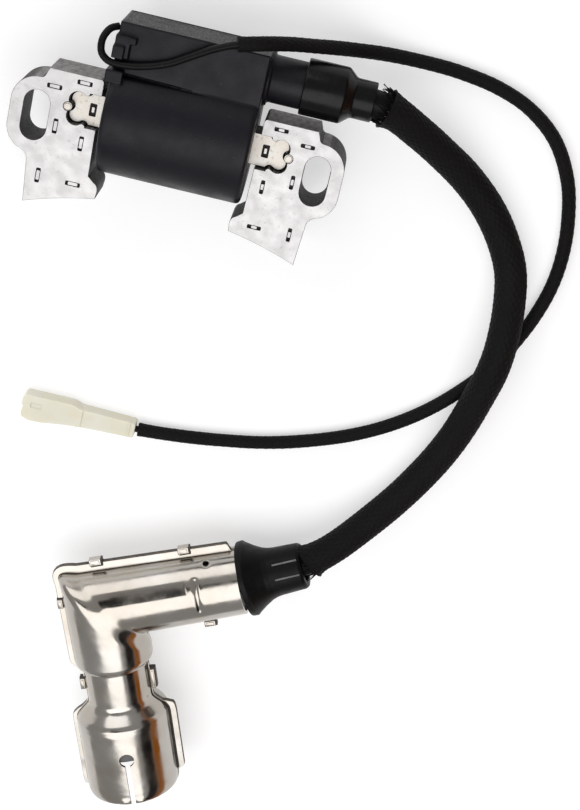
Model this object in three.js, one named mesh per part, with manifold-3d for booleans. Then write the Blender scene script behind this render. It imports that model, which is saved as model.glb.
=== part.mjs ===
// Small-engine ignition coil: laminated core, potted winding case, high-tension lead with a screened
// plug cap, and a stop lead with a one-way connector. Millimetres, +Z up, the coil lying on Z = 0.
// X runs along the core bar, +Y points away from the flywheel.
import * as THREE from "three";
import { mergeVertices } from "three/addons/utils/BufferGeometryUtils.js";
import Module from "manifold-3d";

const wasm = await Module();
wasm.setup();

const GAP = 0.3; // clearance between pieces that touch on the real coil
const TURN = Math.PI * 2;
const QUARTER = Math.PI / 2;
const ROUND = 32; // sides of a round piece
const FINE = 40; // sides of a large round piece

// Core: two laminated legs on a square bar.
const STACK = 12.7; // lamination stack thickness
const STACK_BACK_Z = 8.65;
const STACK_FRONT_Z = STACK_BACK_Z + STACK;
const BAR_SIDE = 8.3;
const BAR_RECESS = (STACK - BAR_SIDE) / 2;
const SLOT_X = 35.5; // half of the 71 mm mounting pitch
const SLOT_R = 3.3; // clears an M6 screw
const SLOT_TOP_Y = -0.9;
const SLOT_LOW_Y = -7.1;
const EYE_R = 6.6;
const LEG_INNER_X = 20.1;
const LEG_TOP_Y = 8.4;
const POLE_R = 101.3; // pole shoes are ground to an 8 in flywheel plus the air gap
const POLE_TIP_X = 17.2;
const POLE_HEEL_X = 35;
const POLE_CENTRE_Y = -121.4;
const HEEL_Y = POLE_CENTRE_Y + Math.sqrt(POLE_R ** 2 - POLE_HEEL_X ** 2);

// Joint between bar and leg: two round lobes, a waist, and a pin between the lobes.
const LOBE = { x: 25.65, y: 2, r: 1.95 };
const WAIST = { x: 23.7, y: 4.35 };
const PIN_X = 27.9;
const PIN_R = 0.85;
const PIN_NOTCH_R = 1.45;

// Winding case: a cylinder round the bar with a box on its +Y side.
const AXIS_Z = STACK_BACK_Z + STACK / 2;
const CASE_R = 15.4;
const CASE_HALF = 18.4;
const CASE_WALL = 1.5;
const BOX_TOP_Y = 24.4;
const BOX_BACK_Z = 8.85;
const BOX_FRONT_Z = 25.05;
const TOWER = { y: 17.3, z: 15.3, r: 5.9, bore: 3.95, end: 36, floor: 20 };

// Leads.
const HT_LEAD_R = 3.5;
const HT_SLEEVE_R = 4.3;
const HT_SLEEVE_BORE = 3.95;
const STOP_WIRE_R = 0.9;
const STOP_SLEEVE_R = 1.9;
const STOP_SLEEVE_BORE = 1.3;

// Plug cap: its own frame has the plug axis along -Y and the cable arm rising from +X.
const CAP_ELBOW = new THREE.Vector3(5.7, -137.4, 13.3);
const CAP_TURN = THREE.MathUtils.degToRad(18.95);
const CAP_ROLL = THREE.MathUtils.degToRad(3.3); // rolled until the seal's rim rests too
const CAP_ARM_RISE = THREE.MathUtils.degToRad(4.65);
const CAP_WALL = 0.8;
const CAP_ARM_LENGTH = 38.8;
const CAP_MOUTH_R = 13.25; // fits over a 20.8 mm plug hexagon
const CAP_NECK_R = 9;
const CAP_BODY_R = 11.4;
const CAP_ARM_R = 9.9;
const CAP_MOUTH_Y = -58.3;
const CAP_FLANGE = 2.2;

// The lead runs straight through the tower and boot, drops to the table, rises over the stop lead
// in one long hump, and climbs into the cap.
const HT_ROUTE = [
  [27, 17.3, 15.3],
  [36, 17.3, 15.3],
  [43, 17.3, 15.3],
  [47, 16.9, 15.1],
  [51, 15.7, 14.5],
  [57.5, 12.1, 11.9],
  [65.2, 7.3, 8.5],
  [73, 1.9, 5.8],
  [80, -4.3, 4.6],
  [85.8, -11.4, 4.4],
  [90.2, -19.5, 4.6],
  [92.2, -28, 5.7],
  [92.9, -37, 7.8],
  [92.5, -45.5, 8.8],
  [90.8, -55, 7.7],
  [88.7, -65, 5.8],
  [85.5, -74.6, 4.7],
  [81.2, -83.5, 4.5],
  [76.2, -91.7, 5.1],
  [70.4, -99.2, 6.9],
  [64.5, -105.8, 9.3],
  [60.8, -109.2, 10.4],
  [56, -113.1, 11],
  [48.6, -117.7, 11],
  [41.3, -121.8, 11.1],
  [30, -126.8, 11.8],
  [20.3, -131, 12.4],
];
const HT_STEPS = 42;
const HT_SLEEVE_SPAN = [4, 34]; // steps of the lead that the braided sleeve covers

// The stop lead loops out of the case's end, lies under the hook and across the box, then runs
// down to the table and round to its connector.
const STOP_ROUTE = [
  [-18.9, 22.6, 23],
  [-20.6, 21.9, 24.3],
  [-21.9, 19.3, 25.6],
  [-21.5, 16.2, 26.3],
  [-19.6, 14.6, 26.4],
  [-16.6, 14.3, 26.4],
  [-13, 14.7, 26.4],
  [-9.4, 15.6, 26.4],
  [-5, 17.3, 26.4],
  [-0.5, 20, 26.5],
  [4.5, 23.1, 26.9],
  [9.7, 25.6, 27.3],
  [15.5, 27, 26],
  [22, 27.5, 20.9],
  [29, 27.5, 14.9],
  [37.6, 27.6, 9],
  [46.9, 27.6, 4.4],
  [56.2, 27.4, 2.3],
  [65.4, 26.9, 1.95],
  [75.4, 25.3, 1.95],
  [84.2, 22, 1.95],
  [92.3, 15.9, 1.95],
  [98.2, 6.7, 1.95],
  [101.3, -3.5, 1.95],
  [102.5, -13.5, 1.95],
  [102, -22.4, 1.95],
  [99.9, -31.2, 1.95],
  [96.3, -40.5, 1.95],
  [91.7, -49.1, 1.95],
  [85.8, -56.8, 1.95],
  [78.8, -64, 1.95],
  [70.2, -70.6, 1.95],
  [60.1, -76.3, 1.95],
  [49.2, -80.7, 1.95],
  [38, -84.1, 1.95],
  [26.5, -86.3, 1.95],
  [14.8, -87.9, 2],
  [3.4, -88.7, 2.2],
  [-7.5, -88.7, 2.3],
];
const STOP_STEPS = 72;
const STOP_SLEEVE_SPAN = [10, 69];

const CONNECTOR_Y = -88.7;
const CONNECTOR_HEIGHT = 4.8;
const CONNECTOR_FRONT_X = -28.5;
const CONNECTOR_REAR_X = 3.2;

const steel = new THREE.MeshStandardMaterial({ color: 0xc9c7c4, roughness: 0.45, metalness: 0.8 });
const coreSteel = new THREE.MeshStandardMaterial({ color: 0xcbc2b4, roughness: 0.5, metalness: 0.7 });
const plated = new THREE.MeshStandardMaterial({ color: 0xd8d4cc, roughness: 0.2, metalness: 1 });
const blackPlastic = new THREE.MeshStandardMaterial({ color: 0x17171a, roughness: 0.55 });
const blackRubber = new THREE.MeshStandardMaterial({ color: 0x0d0d0f, roughness: 0.35 });
const braid = new THREE.MeshStandardMaterial({ color: 0x141415, roughness: 0.85 });
const epoxy = new THREE.MeshStandardMaterial({ color: 0x4c4b4a, roughness: 0.9 });
const copper = new THREE.MeshStandardMaterial({ color: 0xb06a3a, roughness: 0.35, metalness: 0.9 });
const brass = new THREE.MeshStandardMaterial({ color: 0xb8964c, roughness: 0.35, metalness: 0.9 });
const nylon = new THREE.MeshStandardMaterial({ color: 0xe8e6da, roughness: 0.5 });
const bobbinNylon = new THREE.MeshStandardMaterial({ color: 0xc9c3a8, roughness: 0.6 });
const boardGreen = new THREE.MeshStandardMaterial({ color: 0x2c5a3c, roughness: 0.6 });
const ceramic = new THREE.MeshStandardMaterial({ color: 0xb9ab95, roughness: 0.6 });

// A closed geometry as a manifold-3d solid.
function solid(geometry) {
  const bare = new THREE.BufferGeometry();
  const flat = geometry.index ? geometry.toNonIndexed() : geometry;
  bare.setAttribute("position", flat.getAttribute("position"));
  const merged = mergeVertices(bare, 1e-4);
  const corners = merged.index.array;
  const kept = [];
  for (let i = 0; i < corners.length; i += 3) {
    const [a, b, c] = corners.slice(i, i + 3);
    if (a !== b && b !== c && c !== a) kept.push(a, b, c);
  }
  const vertProperties = new Float32Array(merged.attributes.position.array);
  return new wasm.Manifold(
    new wasm.Mesh({ numProp: 3, vertProperties, triVerts: new Uint32Array(kept) }),
  );
}

// A manifold-3d solid as a three.js geometry.
function geometryOf(made) {
  const mesh = made.getMesh();
  const geometry = new THREE.BufferGeometry();
  geometry.setAttribute("position", new THREE.BufferAttribute(mesh.vertProperties, 3));
  geometry.setIndex(new THREE.BufferAttribute(mesh.triVerts, 1));
  return geometry;
}

const join = (...parts) => parts.map(solid).reduce((a, b) => a.add(b));
const cut = (body, ...tools) => tools.reduce((a, tool) => a.subtract(solid(tool)), body);

// Box between two opposite corners.
function box([x0, y0, z0], [x1, y1, z1]) {
  const geometry = new THREE.BoxGeometry(x1 - x0, y1 - y0, z1 - z0);
  return geometry.translate((x0 + x1) / 2, (y0 + y1) / 2, (z0 + z1) / 2);
}

// Turned shape about a line along X; the profile lists [x, radius].
function turnedX(profile, y, z, sides = ROUND) {
  const points = profile.map(([x, r]) => new THREE.Vector2(r, x));
  return new THREE.LatheGeometry(points, sides).rotateZ(-QUARTER).translate(0, y, z);
}

function rodX(r, x0, x1, y, z, sides = ROUND) {
  return turnedX([[x0, 0], [x0, r], [x1, r], [x1, 0]], y, z, sides);
}

// Turned shape about the Y axis; the profile lists [y, radius].
function turnedY(profile, sides = ROUND) {
  return new THREE.LatheGeometry(profile.map(([y, r]) => new THREE.Vector2(r, y)), sides);
}

// Flat outline extruded from z0 to z1.
function plate(shape, z0, z1, curveSegments = 6) {
  const options = { depth: z1 - z0, bevelEnabled: false, curveSegments };
  return new THREE.ExtrudeGeometry(shape, options).translate(0, 0, z0);
}

const polygon = (points) => new THREE.Shape(points.map(([x, y]) => new THREE.Vector2(x, y)));

function arc(x, y, r, from, to, count) {
  const at = (i) => from + ((to - from) * i) / count;
  return Array.from({ length: count + 1 }, (_, i) => [x + r * Math.cos(at(i)), y + r * Math.sin(at(i))]);
}

// Edge of the bar's end, from its +Y side round to its -Y side. The bar's edge passes inside the
// pin, the leg's pocket outside it, grown by the clearance.
function jointEdge(grow, outsidePin) {
  const half = BAR_SIDE / 2 - 0.1 + grow;
  const lobeR = LOBE.r + grow;
  const between = Math.hypot(LOBE.x - WAIST.x, WAIST.y - LOBE.y);
  const waistR = between - lobeR;
  const tangent = Math.atan2(WAIST.y - LOBE.y, WAIST.x - LOBE.x);
  const waistStart = Math.PI - Math.asin((half - WAIST.y) / waistR);
  const pinR = PIN_NOTCH_R - GAP * (outsidePin ? 1 : 0);
  const toPin = Math.hypot(PIN_X - LOBE.x, LOBE.y);
  const pinWay = Math.atan2(-LOBE.y, PIN_X - LOBE.x);
  const lobeSpread = Math.acos((toPin ** 2 + lobeR ** 2 - pinR ** 2) / (2 * toPin * lobeR));
  const pinSpread = Math.acos((toPin ** 2 + pinR ** 2 - lobeR ** 2) / (2 * toPin * pinR));
  const pinStart = Math.PI + pinWay - pinSpread;
  const pinEnd = outsidePin ? 0 : Math.PI;
  const upper = [
    ...arc(WAIST.x, WAIST.y, waistR, waistStart, Math.PI + tangent, 6),
    ...arc(LOBE.x, LOBE.y, lobeR, tangent, pinWay + lobeSpread, 8),
    ...arc(PIN_X, 0, pinR, pinStart, pinEnd, 5),
  ];
  const lower = upper.slice(0, -1).map(([x, y]) => [x, -y]).reverse();
  return [...upper, ...lower];
}

function legOutline() {
  const shape = new THREE.Shape();
  const pocket = jointEdge(GAP, true);
  const poleAngle = (x) => QUARTER - Math.asin(x / POLE_R);
  shape.moveTo(33.8, LEG_TOP_Y);
  shape.lineTo(LEG_INNER_X + 1, LEG_TOP_Y);
  shape.quadraticCurveTo(LEG_INNER_X, LEG_TOP_Y, LEG_INNER_X, LEG_TOP_Y - 1);
  shape.lineTo(LEG_INNER_X, pocket[0][1]);
  pocket.forEach(([x, y]) => shape.lineTo(x, y));
  shape.lineTo(LEG_INNER_X, -pocket[0][1]);
  shape.lineTo(LEG_INNER_X - 0.3, -16.2);
  shape.lineTo(18.2, -17.5);
  shape.quadraticCurveTo(16.8, -18.1, 17, -20);
  shape.absarc(0, POLE_CENTRE_Y, POLE_R, poleAngle(POLE_TIP_X), poleAngle(POLE_HEEL_X), true);
  shape.lineTo(35.8, -15.6);
  shape.quadraticCurveTo(35.9, -13.6, 38.8, -12.8);
  shape.absarc(SLOT_X, SLOT_LOW_Y, EYE_R, -Math.PI / 3, 0, false);
  shape.absarc(SLOT_X, SLOT_TOP_Y, EYE_R, 0, QUARTER, false);
  shape.quadraticCurveTo(34.6, 5.8, 34.4, 6.8);
  const slot = new THREE.Path();
  slot.absarc(SLOT_X, SLOT_TOP_Y, SLOT_R, 0, Math.PI, false);
  slot.absarc(SLOT_X, SLOT_LOW_Y, SLOT_R, Math.PI, TURN, false);
  shape.holes.push(slot);
  return shape;
}

function coreBar() {
  const end = jointEdge(0, false);
  const mirrored = end.map(([x, y]) => [-x, y]).reverse();
  const backZ = STACK_BACK_Z + BAR_RECESS;
  return plate(polygon([...end, ...mirrored]), backZ, backZ + BAR_SIDE);
}

function corePin(x) {
  const pin = new THREE.CylinderGeometry(PIN_R, PIN_R, STACK - 0.2, 16).rotateX(QUARTER);
  return pin.translate(x, 0, AXIS_Z);
}

const BOBBIN_BORE = BAR_SIDE / 2 + 0.3;
const BOBBIN_SIDE = BOBBIN_BORE + 0.8;

function coilCase() {
  const inner = CASE_HALF - CASE_WALL;
  const shell = join(
    rodX(CASE_R, -CASE_HALF, CASE_HALF, 0, AXIS_Z, FINE),
    box([-CASE_HALF, 4, BOX_BACK_Z], [CASE_HALF, BOX_TOP_Y, BOX_FRONT_Z]),
    rodX(TOWER.r, CASE_HALF - 1, TOWER.end, TOWER.y, TOWER.z),
    // Hook that holds the stop lead: an upper block and a lower one with the lead between them.
    box([-18.4, 15.9, BOX_FRONT_Z - 1], [-14.2, BOX_TOP_Y, BOX_FRONT_Z + 1.6]),
    box([-18.4, 9.5, BOX_FRONT_Z - 3], [-15, 12.7, BOX_FRONT_Z + 2.6]),
  );
  const hole = BOBBIN_SIDE + GAP;
  return geometryOf(
    cut(
      shell,
      rodX(CASE_R - CASE_WALL, -inner, inner, 0, AXIS_Z, FINE),
      box([-inner, 5, BOX_BACK_Z + CASE_WALL], [inner, BOX_TOP_Y + 1, BOX_FRONT_Z - CASE_WALL]),
      box([-CASE_HALF - 1, -hole, AXIS_Z - hole], [CASE_HALF + 1, hole, AXIS_Z + hole]),
      rodX(TOWER.bore, TOWER.floor, TOWER.end + 1, TOWER.y, TOWER.z),
      rodX(1.1, inner - 1, TOWER.floor + 1, TOWER.y, TOWER.z, 16),
      rodX(1.6, -CASE_HALF - 1, -inner + 1, 22.6, 23, 12),
      box([-30, -30, -3], [30, 30, 0]),
    ),
  );
}

const FLANGE_X = CASE_HALF - CASE_WALL - GAP - 0.1;

function primaryBobbin() {
  const tube = box(
    [-CASE_HALF, -BOBBIN_SIDE, AXIS_Z - BOBBIN_SIDE],
    [CASE_HALF, BOBBIN_SIDE, AXIS_Z + BOBBIN_SIDE],
  );
  const flanges = [-1, 1].map((side) => {
    const ends = [side * FLANGE_X, side * (FLANGE_X - 0.8)].sort((a, b) => a - b);
    return rodX(8.8, ends[0], ends[1], 0, AXIS_Z);
  });
  const bore = box([-20, -BOBBIN_BORE, AXIS_Z - BOBBIN_BORE], [20, BOBBIN_BORE, AXIS_Z + BOBBIN_BORE]);
  return geometryOf(cut(join(tube, ...flanges), bore));
}

function primaryWinding() {
  const inside = BOBBIN_SIDE + GAP;
  const half = FLANGE_X - 0.8 - GAP;
  const bore = box([-20, -inside, AXIS_Z - inside], [20, inside, AXIS_Z + inside]);
  return geometryOf(cut(join(rodX(8.6, -half, half, 0, AXIS_Z)), bore));
}

// Ring about the bar's axis.
const ringX = (inner, outer, half) =>
  turnedX([[-half, inner], [-half, outer], [half, outer], [half, inner], [-half, inner]], 0, AXIS_Z);

function secondaryBobbin() {
  const half = FLANGE_X;
  const wall = half - 0.8;
  const profile = [
    [-half, 9.2],
    [-half, 13.3],
    [-wall, 13.3],
    [-wall, 10],
    [wall, 10],
    [wall, 13.3],
    [half, 13.3],
    [half, 9.2],
    [-half, 9.2],
  ];
  return turnedX(profile, 0, AXIS_Z);
}

const POCKET = { half: 12.4, roof: 19.6, z0: 11.7, z1: 22.1 };

function potting() {
  const half = CASE_HALF - CASE_WALL - GAP;
  const block = box(
    [-half, 14.5, BOX_BACK_Z + CASE_WALL + GAP],
    [half, BOX_TOP_Y - 0.3, BOX_FRONT_Z - CASE_WALL - GAP],
  );
  const pocket = box([-POCKET.half, 14, POCKET.z0], [POCKET.half, POCKET.roof, POCKET.z1]);
  const wireWay = box([-20, 20.9, 21.3], [-14.9, 30, 30]);
  return geometryOf(cut(join(block), pocket, wireWay));
}

function htTerminal() {
  const profile = [
    [17, 0],
    [17, 0.8],
    [20.3, 0.8],
    [20.3, 2.2],
    [21.2, 2.2],
    [21.2, 0.8],
    [26.6, 0.8],
    [26.6, 0],
  ];
  return turnedX(profile, TOWER.y, TOWER.z, 16);
}

function htBoot() {
  const profile = [
    [27.5, TOWER.r + GAP],
    [27.5, 7.05],
    [37.7, 7.05],
    [40, 5],
    [45.3, 5],
    [45.3, 4.3],
    [42, 3.85],
    [TOWER.end + GAP, 3.85],
    [TOWER.end + GAP, TOWER.r + GAP],
    [27.5, TOWER.r + GAP],
  ];
  return turnedX(profile, TOWER.y, TOWER.z);
}

// Part of a route between two of its evenly spaced steps.
class Stretch extends THREE.Curve {
  constructor(route, from, to) {
    super();
    this.route = route;
    this.from = from;
    this.to = to;
  }
  getPoint(t, target) {
    return this.route.getPointAt(this.from + (this.to - this.from) * t, target);
  }
}

const routeOf = (points) => new THREE.CatmullRomCurve3(points.map((p) => new THREE.Vector3(...p)));

// Tube along a route, hollow where a bore is given, over the steps of the span.
function tube(route, steps, [first, last], r, sides, bore = 0) {
  const section = new THREE.Shape();
  const ring = (radius) => arc(0, 0, radius, 0, TURN, sides).slice(0, -1);
  section.setFromPoints(ring(r).map(([x, y]) => new THREE.Vector2(x, y)));
  if (bore) {
    const hole = new THREE.Path();
    hole.setFromPoints(ring(bore).map(([x, y]) => new THREE.Vector2(x, y)));
    section.holes.push(hole);
  }
  const extrudePath = new Stretch(route, first / steps, last / steps);
  return new THREE.ExtrudeGeometry(section, { steps: last - first, extrudePath, bevelEnabled: false });
}

function connectorHousing() {
  const [frontHalf, rearHalf, stepX, wall] = [3.75, 2.5, -12, 0.75];
  const outline = polygon([
    [CONNECTOR_FRONT_X, -frontHalf + 0.5],
    [CONNECTOR_FRONT_X + 3, -frontHalf - 0.1],
    [stepX - 2, -frontHalf + 0.4],
    [stepX, -rearHalf],
    [CONNECTOR_REAR_X, -rearHalf],
    [CONNECTOR_REAR_X, rearHalf],
    [stepX, rearHalf],
    [stepX - 2, frontHalf],
    [CONNECTOR_FRONT_X, frontHalf],
  ]);
  const body = plate(outline, 0, CONNECTOR_HEIGHT).translate(0, CONNECTOR_Y, 0);
  const inside = frontHalf - wall;
  const cavity = box(
    [CONNECTOR_FRONT_X - 1, CONNECTOR_Y - inside, wall],
    [stepX, CONNECTOR_Y + inside, CONNECTOR_HEIGHT - wall],
  );
  const wireWay = rodX(STOP_WIRE_R + 0.7, stepX - 1, CONNECTOR_REAR_X + 1, CONNECTOR_Y, 2.25, 12);
  const rearTop = box(
    [stepX + 1, CONNECTOR_Y - 5, CONNECTOR_HEIGHT - 0.6],
    [CONNECTOR_REAR_X + 1, CONNECTOR_Y + 5, CONNECTOR_HEIGHT + 1],
  );
  return geometryOf(cut(join(body), cavity, wireWay, rearTop));
}

// Receptacle for a 4.8 mm tab: a floor and two rolled sides.
function connectorTerminal() {
  const [half, floor, frontX, rearX] = [2.6, 1.05, -23.5, -12.4];
  const blade = box([frontX, CONNECTOR_Y - half, floor], [rearX, CONNECTOR_Y + half, floor + 0.6]);
  const sides = [-half, half - 0.6].map((y) =>
    box([frontX, CONNECTOR_Y + y, floor], [-14, CONNECTOR_Y + y + 0.6, floor + 2.2]),
  );
  return geometryOf(join(blade, ...sides));
}

// Everything on one side of the cap's mitre plane, and a hair past it so that the sides join.
function mitreSide(sign) {
  const reach = 90;
  const lap = 0.05;
  const along = new THREE.Vector2(-11.5, 10.6).normalize();
  const away = new THREE.Vector2(along.y, -along.x).multiplyScalar(sign);
  const corner = (a, b) => [along.x * a + away.x * b, along.y * a + away.y * b];
  const corners = [corner(reach, -lap), corner(-reach, -lap), corner(-reach, reach), corner(reach, reach)];
  return solid(plate(polygon(corners), -30, 30));
}

// Solid of the cap's outer or inner form, shrunk by the inset; the open ends run past by `past`.
function capForm(inset, past) {
  const plugSide = turnedY(
    [
      [CAP_MOUTH_Y - past, 0],
      [CAP_MOUTH_Y - past, CAP_MOUTH_R - inset],
      [-33.5 - inset / 2, CAP_MOUTH_R - inset],
      [-30 - inset / 2, CAP_NECK_R - inset],
      [-18.1 + inset / 2, CAP_NECK_R - inset],
      [-16.5 + inset, CAP_BODY_R - 0.3 - inset],
      [20, CAP_BODY_R + 0.4 - inset],
      [20, 0],
    ],
    FINE,
  );
  const arm = turnedY(
    [
      [-CAP_ARM_LENGTH - past, 0],
      [-CAP_ARM_LENGTH - past, CAP_ARM_R - 0.4 - inset],
      [20, CAP_ARM_R + 0.9 - inset],
      [20, 0],
    ],
    FINE,
  );
  arm.rotateZ(QUARTER + CAP_ARM_RISE);
  const lower = solid(plugSide).intersect(mitreSide(-1));
  const upper = solid(arm).intersect(mitreSide(1));
  return lower.add(upper);
}

// Outline of the crimping flange in the plane where the two half shells meet.
function capOutline(grow) {
  const armAt = (t, n) => {
    const [c, s] = [Math.cos(CAP_ARM_RISE), Math.sin(CAP_ARM_RISE)];
    return [t * c - n * s, t * s + n * c];
  };
  const mouth = CAP_MOUTH_R + grow;
  const neck = CAP_NECK_R + grow;
  const body = CAP_BODY_R + grow;
  const arm = CAP_ARM_R + grow;
  const inner = CAP_BODY_R + 0.2;
  return polygon([
    [-mouth + 1.2, CAP_MOUTH_Y + 4],
    [-mouth + 0.6, CAP_MOUTH_Y + 3],
    [-mouth, -33.7],
    [-neck, -30],
    [-neck, -18.9],
    [-body, -17],
    [-body - 0.3, 9.6],
    armAt(-12.9, arm - 0.6),
    armAt(-11.5, arm + 0.5),
    armAt(37.2, arm - 0.3),
    armAt(38, arm - 1),
    armAt(38, -arm + 0.4),
    armAt(16, -arm),
    armAt(13, -CAP_ARM_R),
    [inner, -11],
    [inner, -17],
    [neck, -18.9],
    [neck, -30],
    [mouth, -33.7],
    [mouth - 0.6, CAP_MOUTH_Y + 3],
    [mouth - 1.2, CAP_MOUTH_Y + 4],
  ]);
}

function capShell(side) {
  const flange = solid(plate(capOutline(CAP_FLANGE), GAP / 2, GAP / 2 + CAP_WALL));
  const half = solid(box([-40, -80, GAP / 2], [60, 40, 30]));
  const outer = capForm(0, 0).intersect(half).add(flange);
  let shell = outer.subtract(capForm(CAP_WALL, 1));
  if (side > 0) {
    const keyhole = { x: 1.1, y: -43.5, r: 2.05, slot: 0.75 };
    const hole = new THREE.CylinderGeometry(keyhole.r, keyhole.r, 20, 20).rotateX(QUARTER);
    hole.translate(keyhole.x, keyhole.y, 14);
    const slot = box([keyhole.x - keyhole.slot, -62, 4], [keyhole.x + keyhole.slot, keyhole.y, 24]);
    shell = cut(shell, hole, slot);
  }
  const geometry = geometryOf(shell);
  return side > 0 ? geometry : geometryOf(shell.mirror([0, 0, 1]));
}

function capBody() {
  const stem = turnedY([[-34.6, 0], [-34.6, 7.8], [-17.5, 7.8], [-14.7, 9.6], [20, 9.6], [20, 0]]);
  const arm = turnedY([[-38.2, 0], [-38.2, 8.2], [20, 8.8], [20, 0]]);
  arm.rotateZ(QUARTER + CAP_ARM_RISE);
  const stemBore = turnedY([[-37, 0], [-37, 4], [2.2, 4], [2.2, 0]]);
  const armBore = turnedY([[-40, 0], [-40, 4.1], [2.2, 4.1], [2.2, 0]]);
  armBore.rotateZ(QUARTER + CAP_ARM_RISE);
  const lower = solid(stem).intersect(mitreSide(-1));
  const upper = solid(arm).intersect(mitreSide(1));
  return geometryOf(cut(lower.add(upper), stemBore, armBore));
}

const capRing = (y0, y1, inner, outer) =>
  turnedY([[y0, inner], [y0, outer], [y1, outer], [y1, inner], [y0, inner]], 24);

function capSpring() {
  const [coilR, wireR, low, high, turns] = [2.1, 0.25, -23.2, -21.9, 2];
  const points = arc(0, 0, coilR, 0, TURN * turns, 24).map(
    ([x, z], i) => new THREE.Vector3(x, low + ((high - low) * i) / 24, z),
  );
  const section = new THREE.Shape(arc(0, 0, wireR, 0, TURN, 6).map(([x, y]) => new THREE.Vector2(x, y)));
  const extrudePath = new THREE.CatmullRomCurve3(points);
  return new THREE.ExtrudeGeometry(section, { steps: 36, extrudePath, bevelEnabled: false });
}

// Elbow contact: a stub on the resistor and a threaded spike that screws into the lead.
function capContact() {
  const stub = turnedY([[-5.6, 0], [-5.6, 1.6], [0, 1.6], [0, 0]], 16);
  const spike = turnedY([[-15.9, 0], [-15, 1.2], [-3, 1.2], [0, 1.6], [0, 0]], 16);
  spike.rotateZ(QUARTER + CAP_ARM_RISE);
  return geometryOf(join(stub, spike, new THREE.SphereGeometry(1.6, 16, 10)));
}

// Rubber seal between the cap's arm and the lead, on the lead's own axis.
function capSeal() {
  const start = { x: 42.2, y: -121.3, z: 11.05 };
  const profile = [
    [0, 3.85],
    [0, 10.7],
    [1.8, 10.9],
    [7.8, 7.3],
    [16, 6.6],
    [16, 4.4],
    [10, 3.85],
    [0, 3.85],
  ];
  const seal = turnedX(profile, 0, 0);
  return seal.rotateZ(THREE.MathUtils.degToRad(29.2)).translate(start.x, start.y, start.z);
}

const htRoute = routeOf(HT_ROUTE);
const stopRoute = routeOf(STOP_ROUTE);

const part = new THREE.Group();
// The origin is under the middle of the coil body, between the heels and the box's top.
part.position.y = -(HEEL_Y + BOX_TOP_Y) / 2;

function add(group, name, geometry, material) {
  const mesh = new THREE.Mesh(geometry, material);
  mesh.name = name;
  group.add(mesh);
  return mesh;
}

const leg = plate(legOutline(), STACK_BACK_Z, STACK_FRONT_Z);
add(part, "core_leg_right", leg, steel);
add(part, "core_leg_left", leg, steel).scale.x = -1;
add(part, "core_bar", coreBar(), coreSteel);
add(part, "core_pin_left", corePin(-PIN_X), coreSteel);
add(part, "core_pin_right", corePin(PIN_X), coreSteel);
add(part, "coil_case", coilCase(), blackPlastic);
add(part, "primary_bobbin", primaryBobbin(), bobbinNylon);
add(part, "primary_winding", primaryWinding(), copper);
add(part, "secondary_bobbin", secondaryBobbin(), bobbinNylon);
add(part, "secondary_winding", ringX(10.3, 12.8, FLANGE_X - 0.8 - GAP), copper);
add(part, "igniter_board", box([-11.5, 15, 12.4], [11.5, 16.2, 21.4]), boardGreen);
add(part, "igniter_transistor", box([-9, 16.5, 13.5], [-1, 18.9, 20.5]), blackPlastic);
add(part, "igniter_resistor", box([2.5, 16.5, 15], [8.5, 18.3, 18]), ceramic);
add(part, "potting", potting(), epoxy);
add(part, "ht_terminal", htTerminal(), brass);
add(part, "ht_boot", htBoot(), blackRubber);
add(part, "ht_lead", tube(htRoute, HT_STEPS, [0, HT_STEPS], HT_LEAD_R, 12), blackRubber);
const htSleeve = tube(htRoute, HT_STEPS, HT_SLEEVE_SPAN, HT_SLEEVE_R, 12, HT_SLEEVE_BORE);
add(part, "ht_lead_sleeve", htSleeve, braid);
add(part, "stop_wire", tube(stopRoute, STOP_STEPS, [0, STOP_STEPS], STOP_WIRE_R, 8), blackRubber);
const stopSleeve = tube(stopRoute, STOP_STEPS, STOP_SLEEVE_SPAN, STOP_SLEEVE_R, 8, STOP_SLEEVE_BORE);
add(part, "stop_wire_sleeve", stopSleeve, braid);
add(part, "connector_housing", connectorHousing(), nylon);
add(part, "connector_terminal", connectorTerminal(), brass);
add(part, "cap_seal", capSeal(), blackRubber);

const cap = new THREE.Group();
cap.position.copy(CAP_ELBOW);
cap.rotation.set(0, CAP_ROLL, CAP_TURN, "ZYX");
part.add(cap);
add(cap, "cap_shell_front", capShell(1), plated);
add(cap, "cap_shell_back", capShell(-1), plated);
add(cap, "cap_body", capBody(), blackPlastic);
add(cap, "cap_plug_clip", capRing(-33, -24, 2.9, 3.6), plated);
add(cap, "cap_spring", capSpring(), steel);
add(cap, "cap_resistor", turnedY([[-21, 0], [-21, 2.7], [-6, 2.7], [-6, 0]], 24), ceramic);
add(cap, "cap_contact", capContact(), brass);

export default part;
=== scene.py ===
import math
import random

import bmesh
import bpy
import numpy as np
from mathutils import Matrix, Vector
from mathutils.geometry import tessellate_polygon
from mathutils.noise import noise


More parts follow.
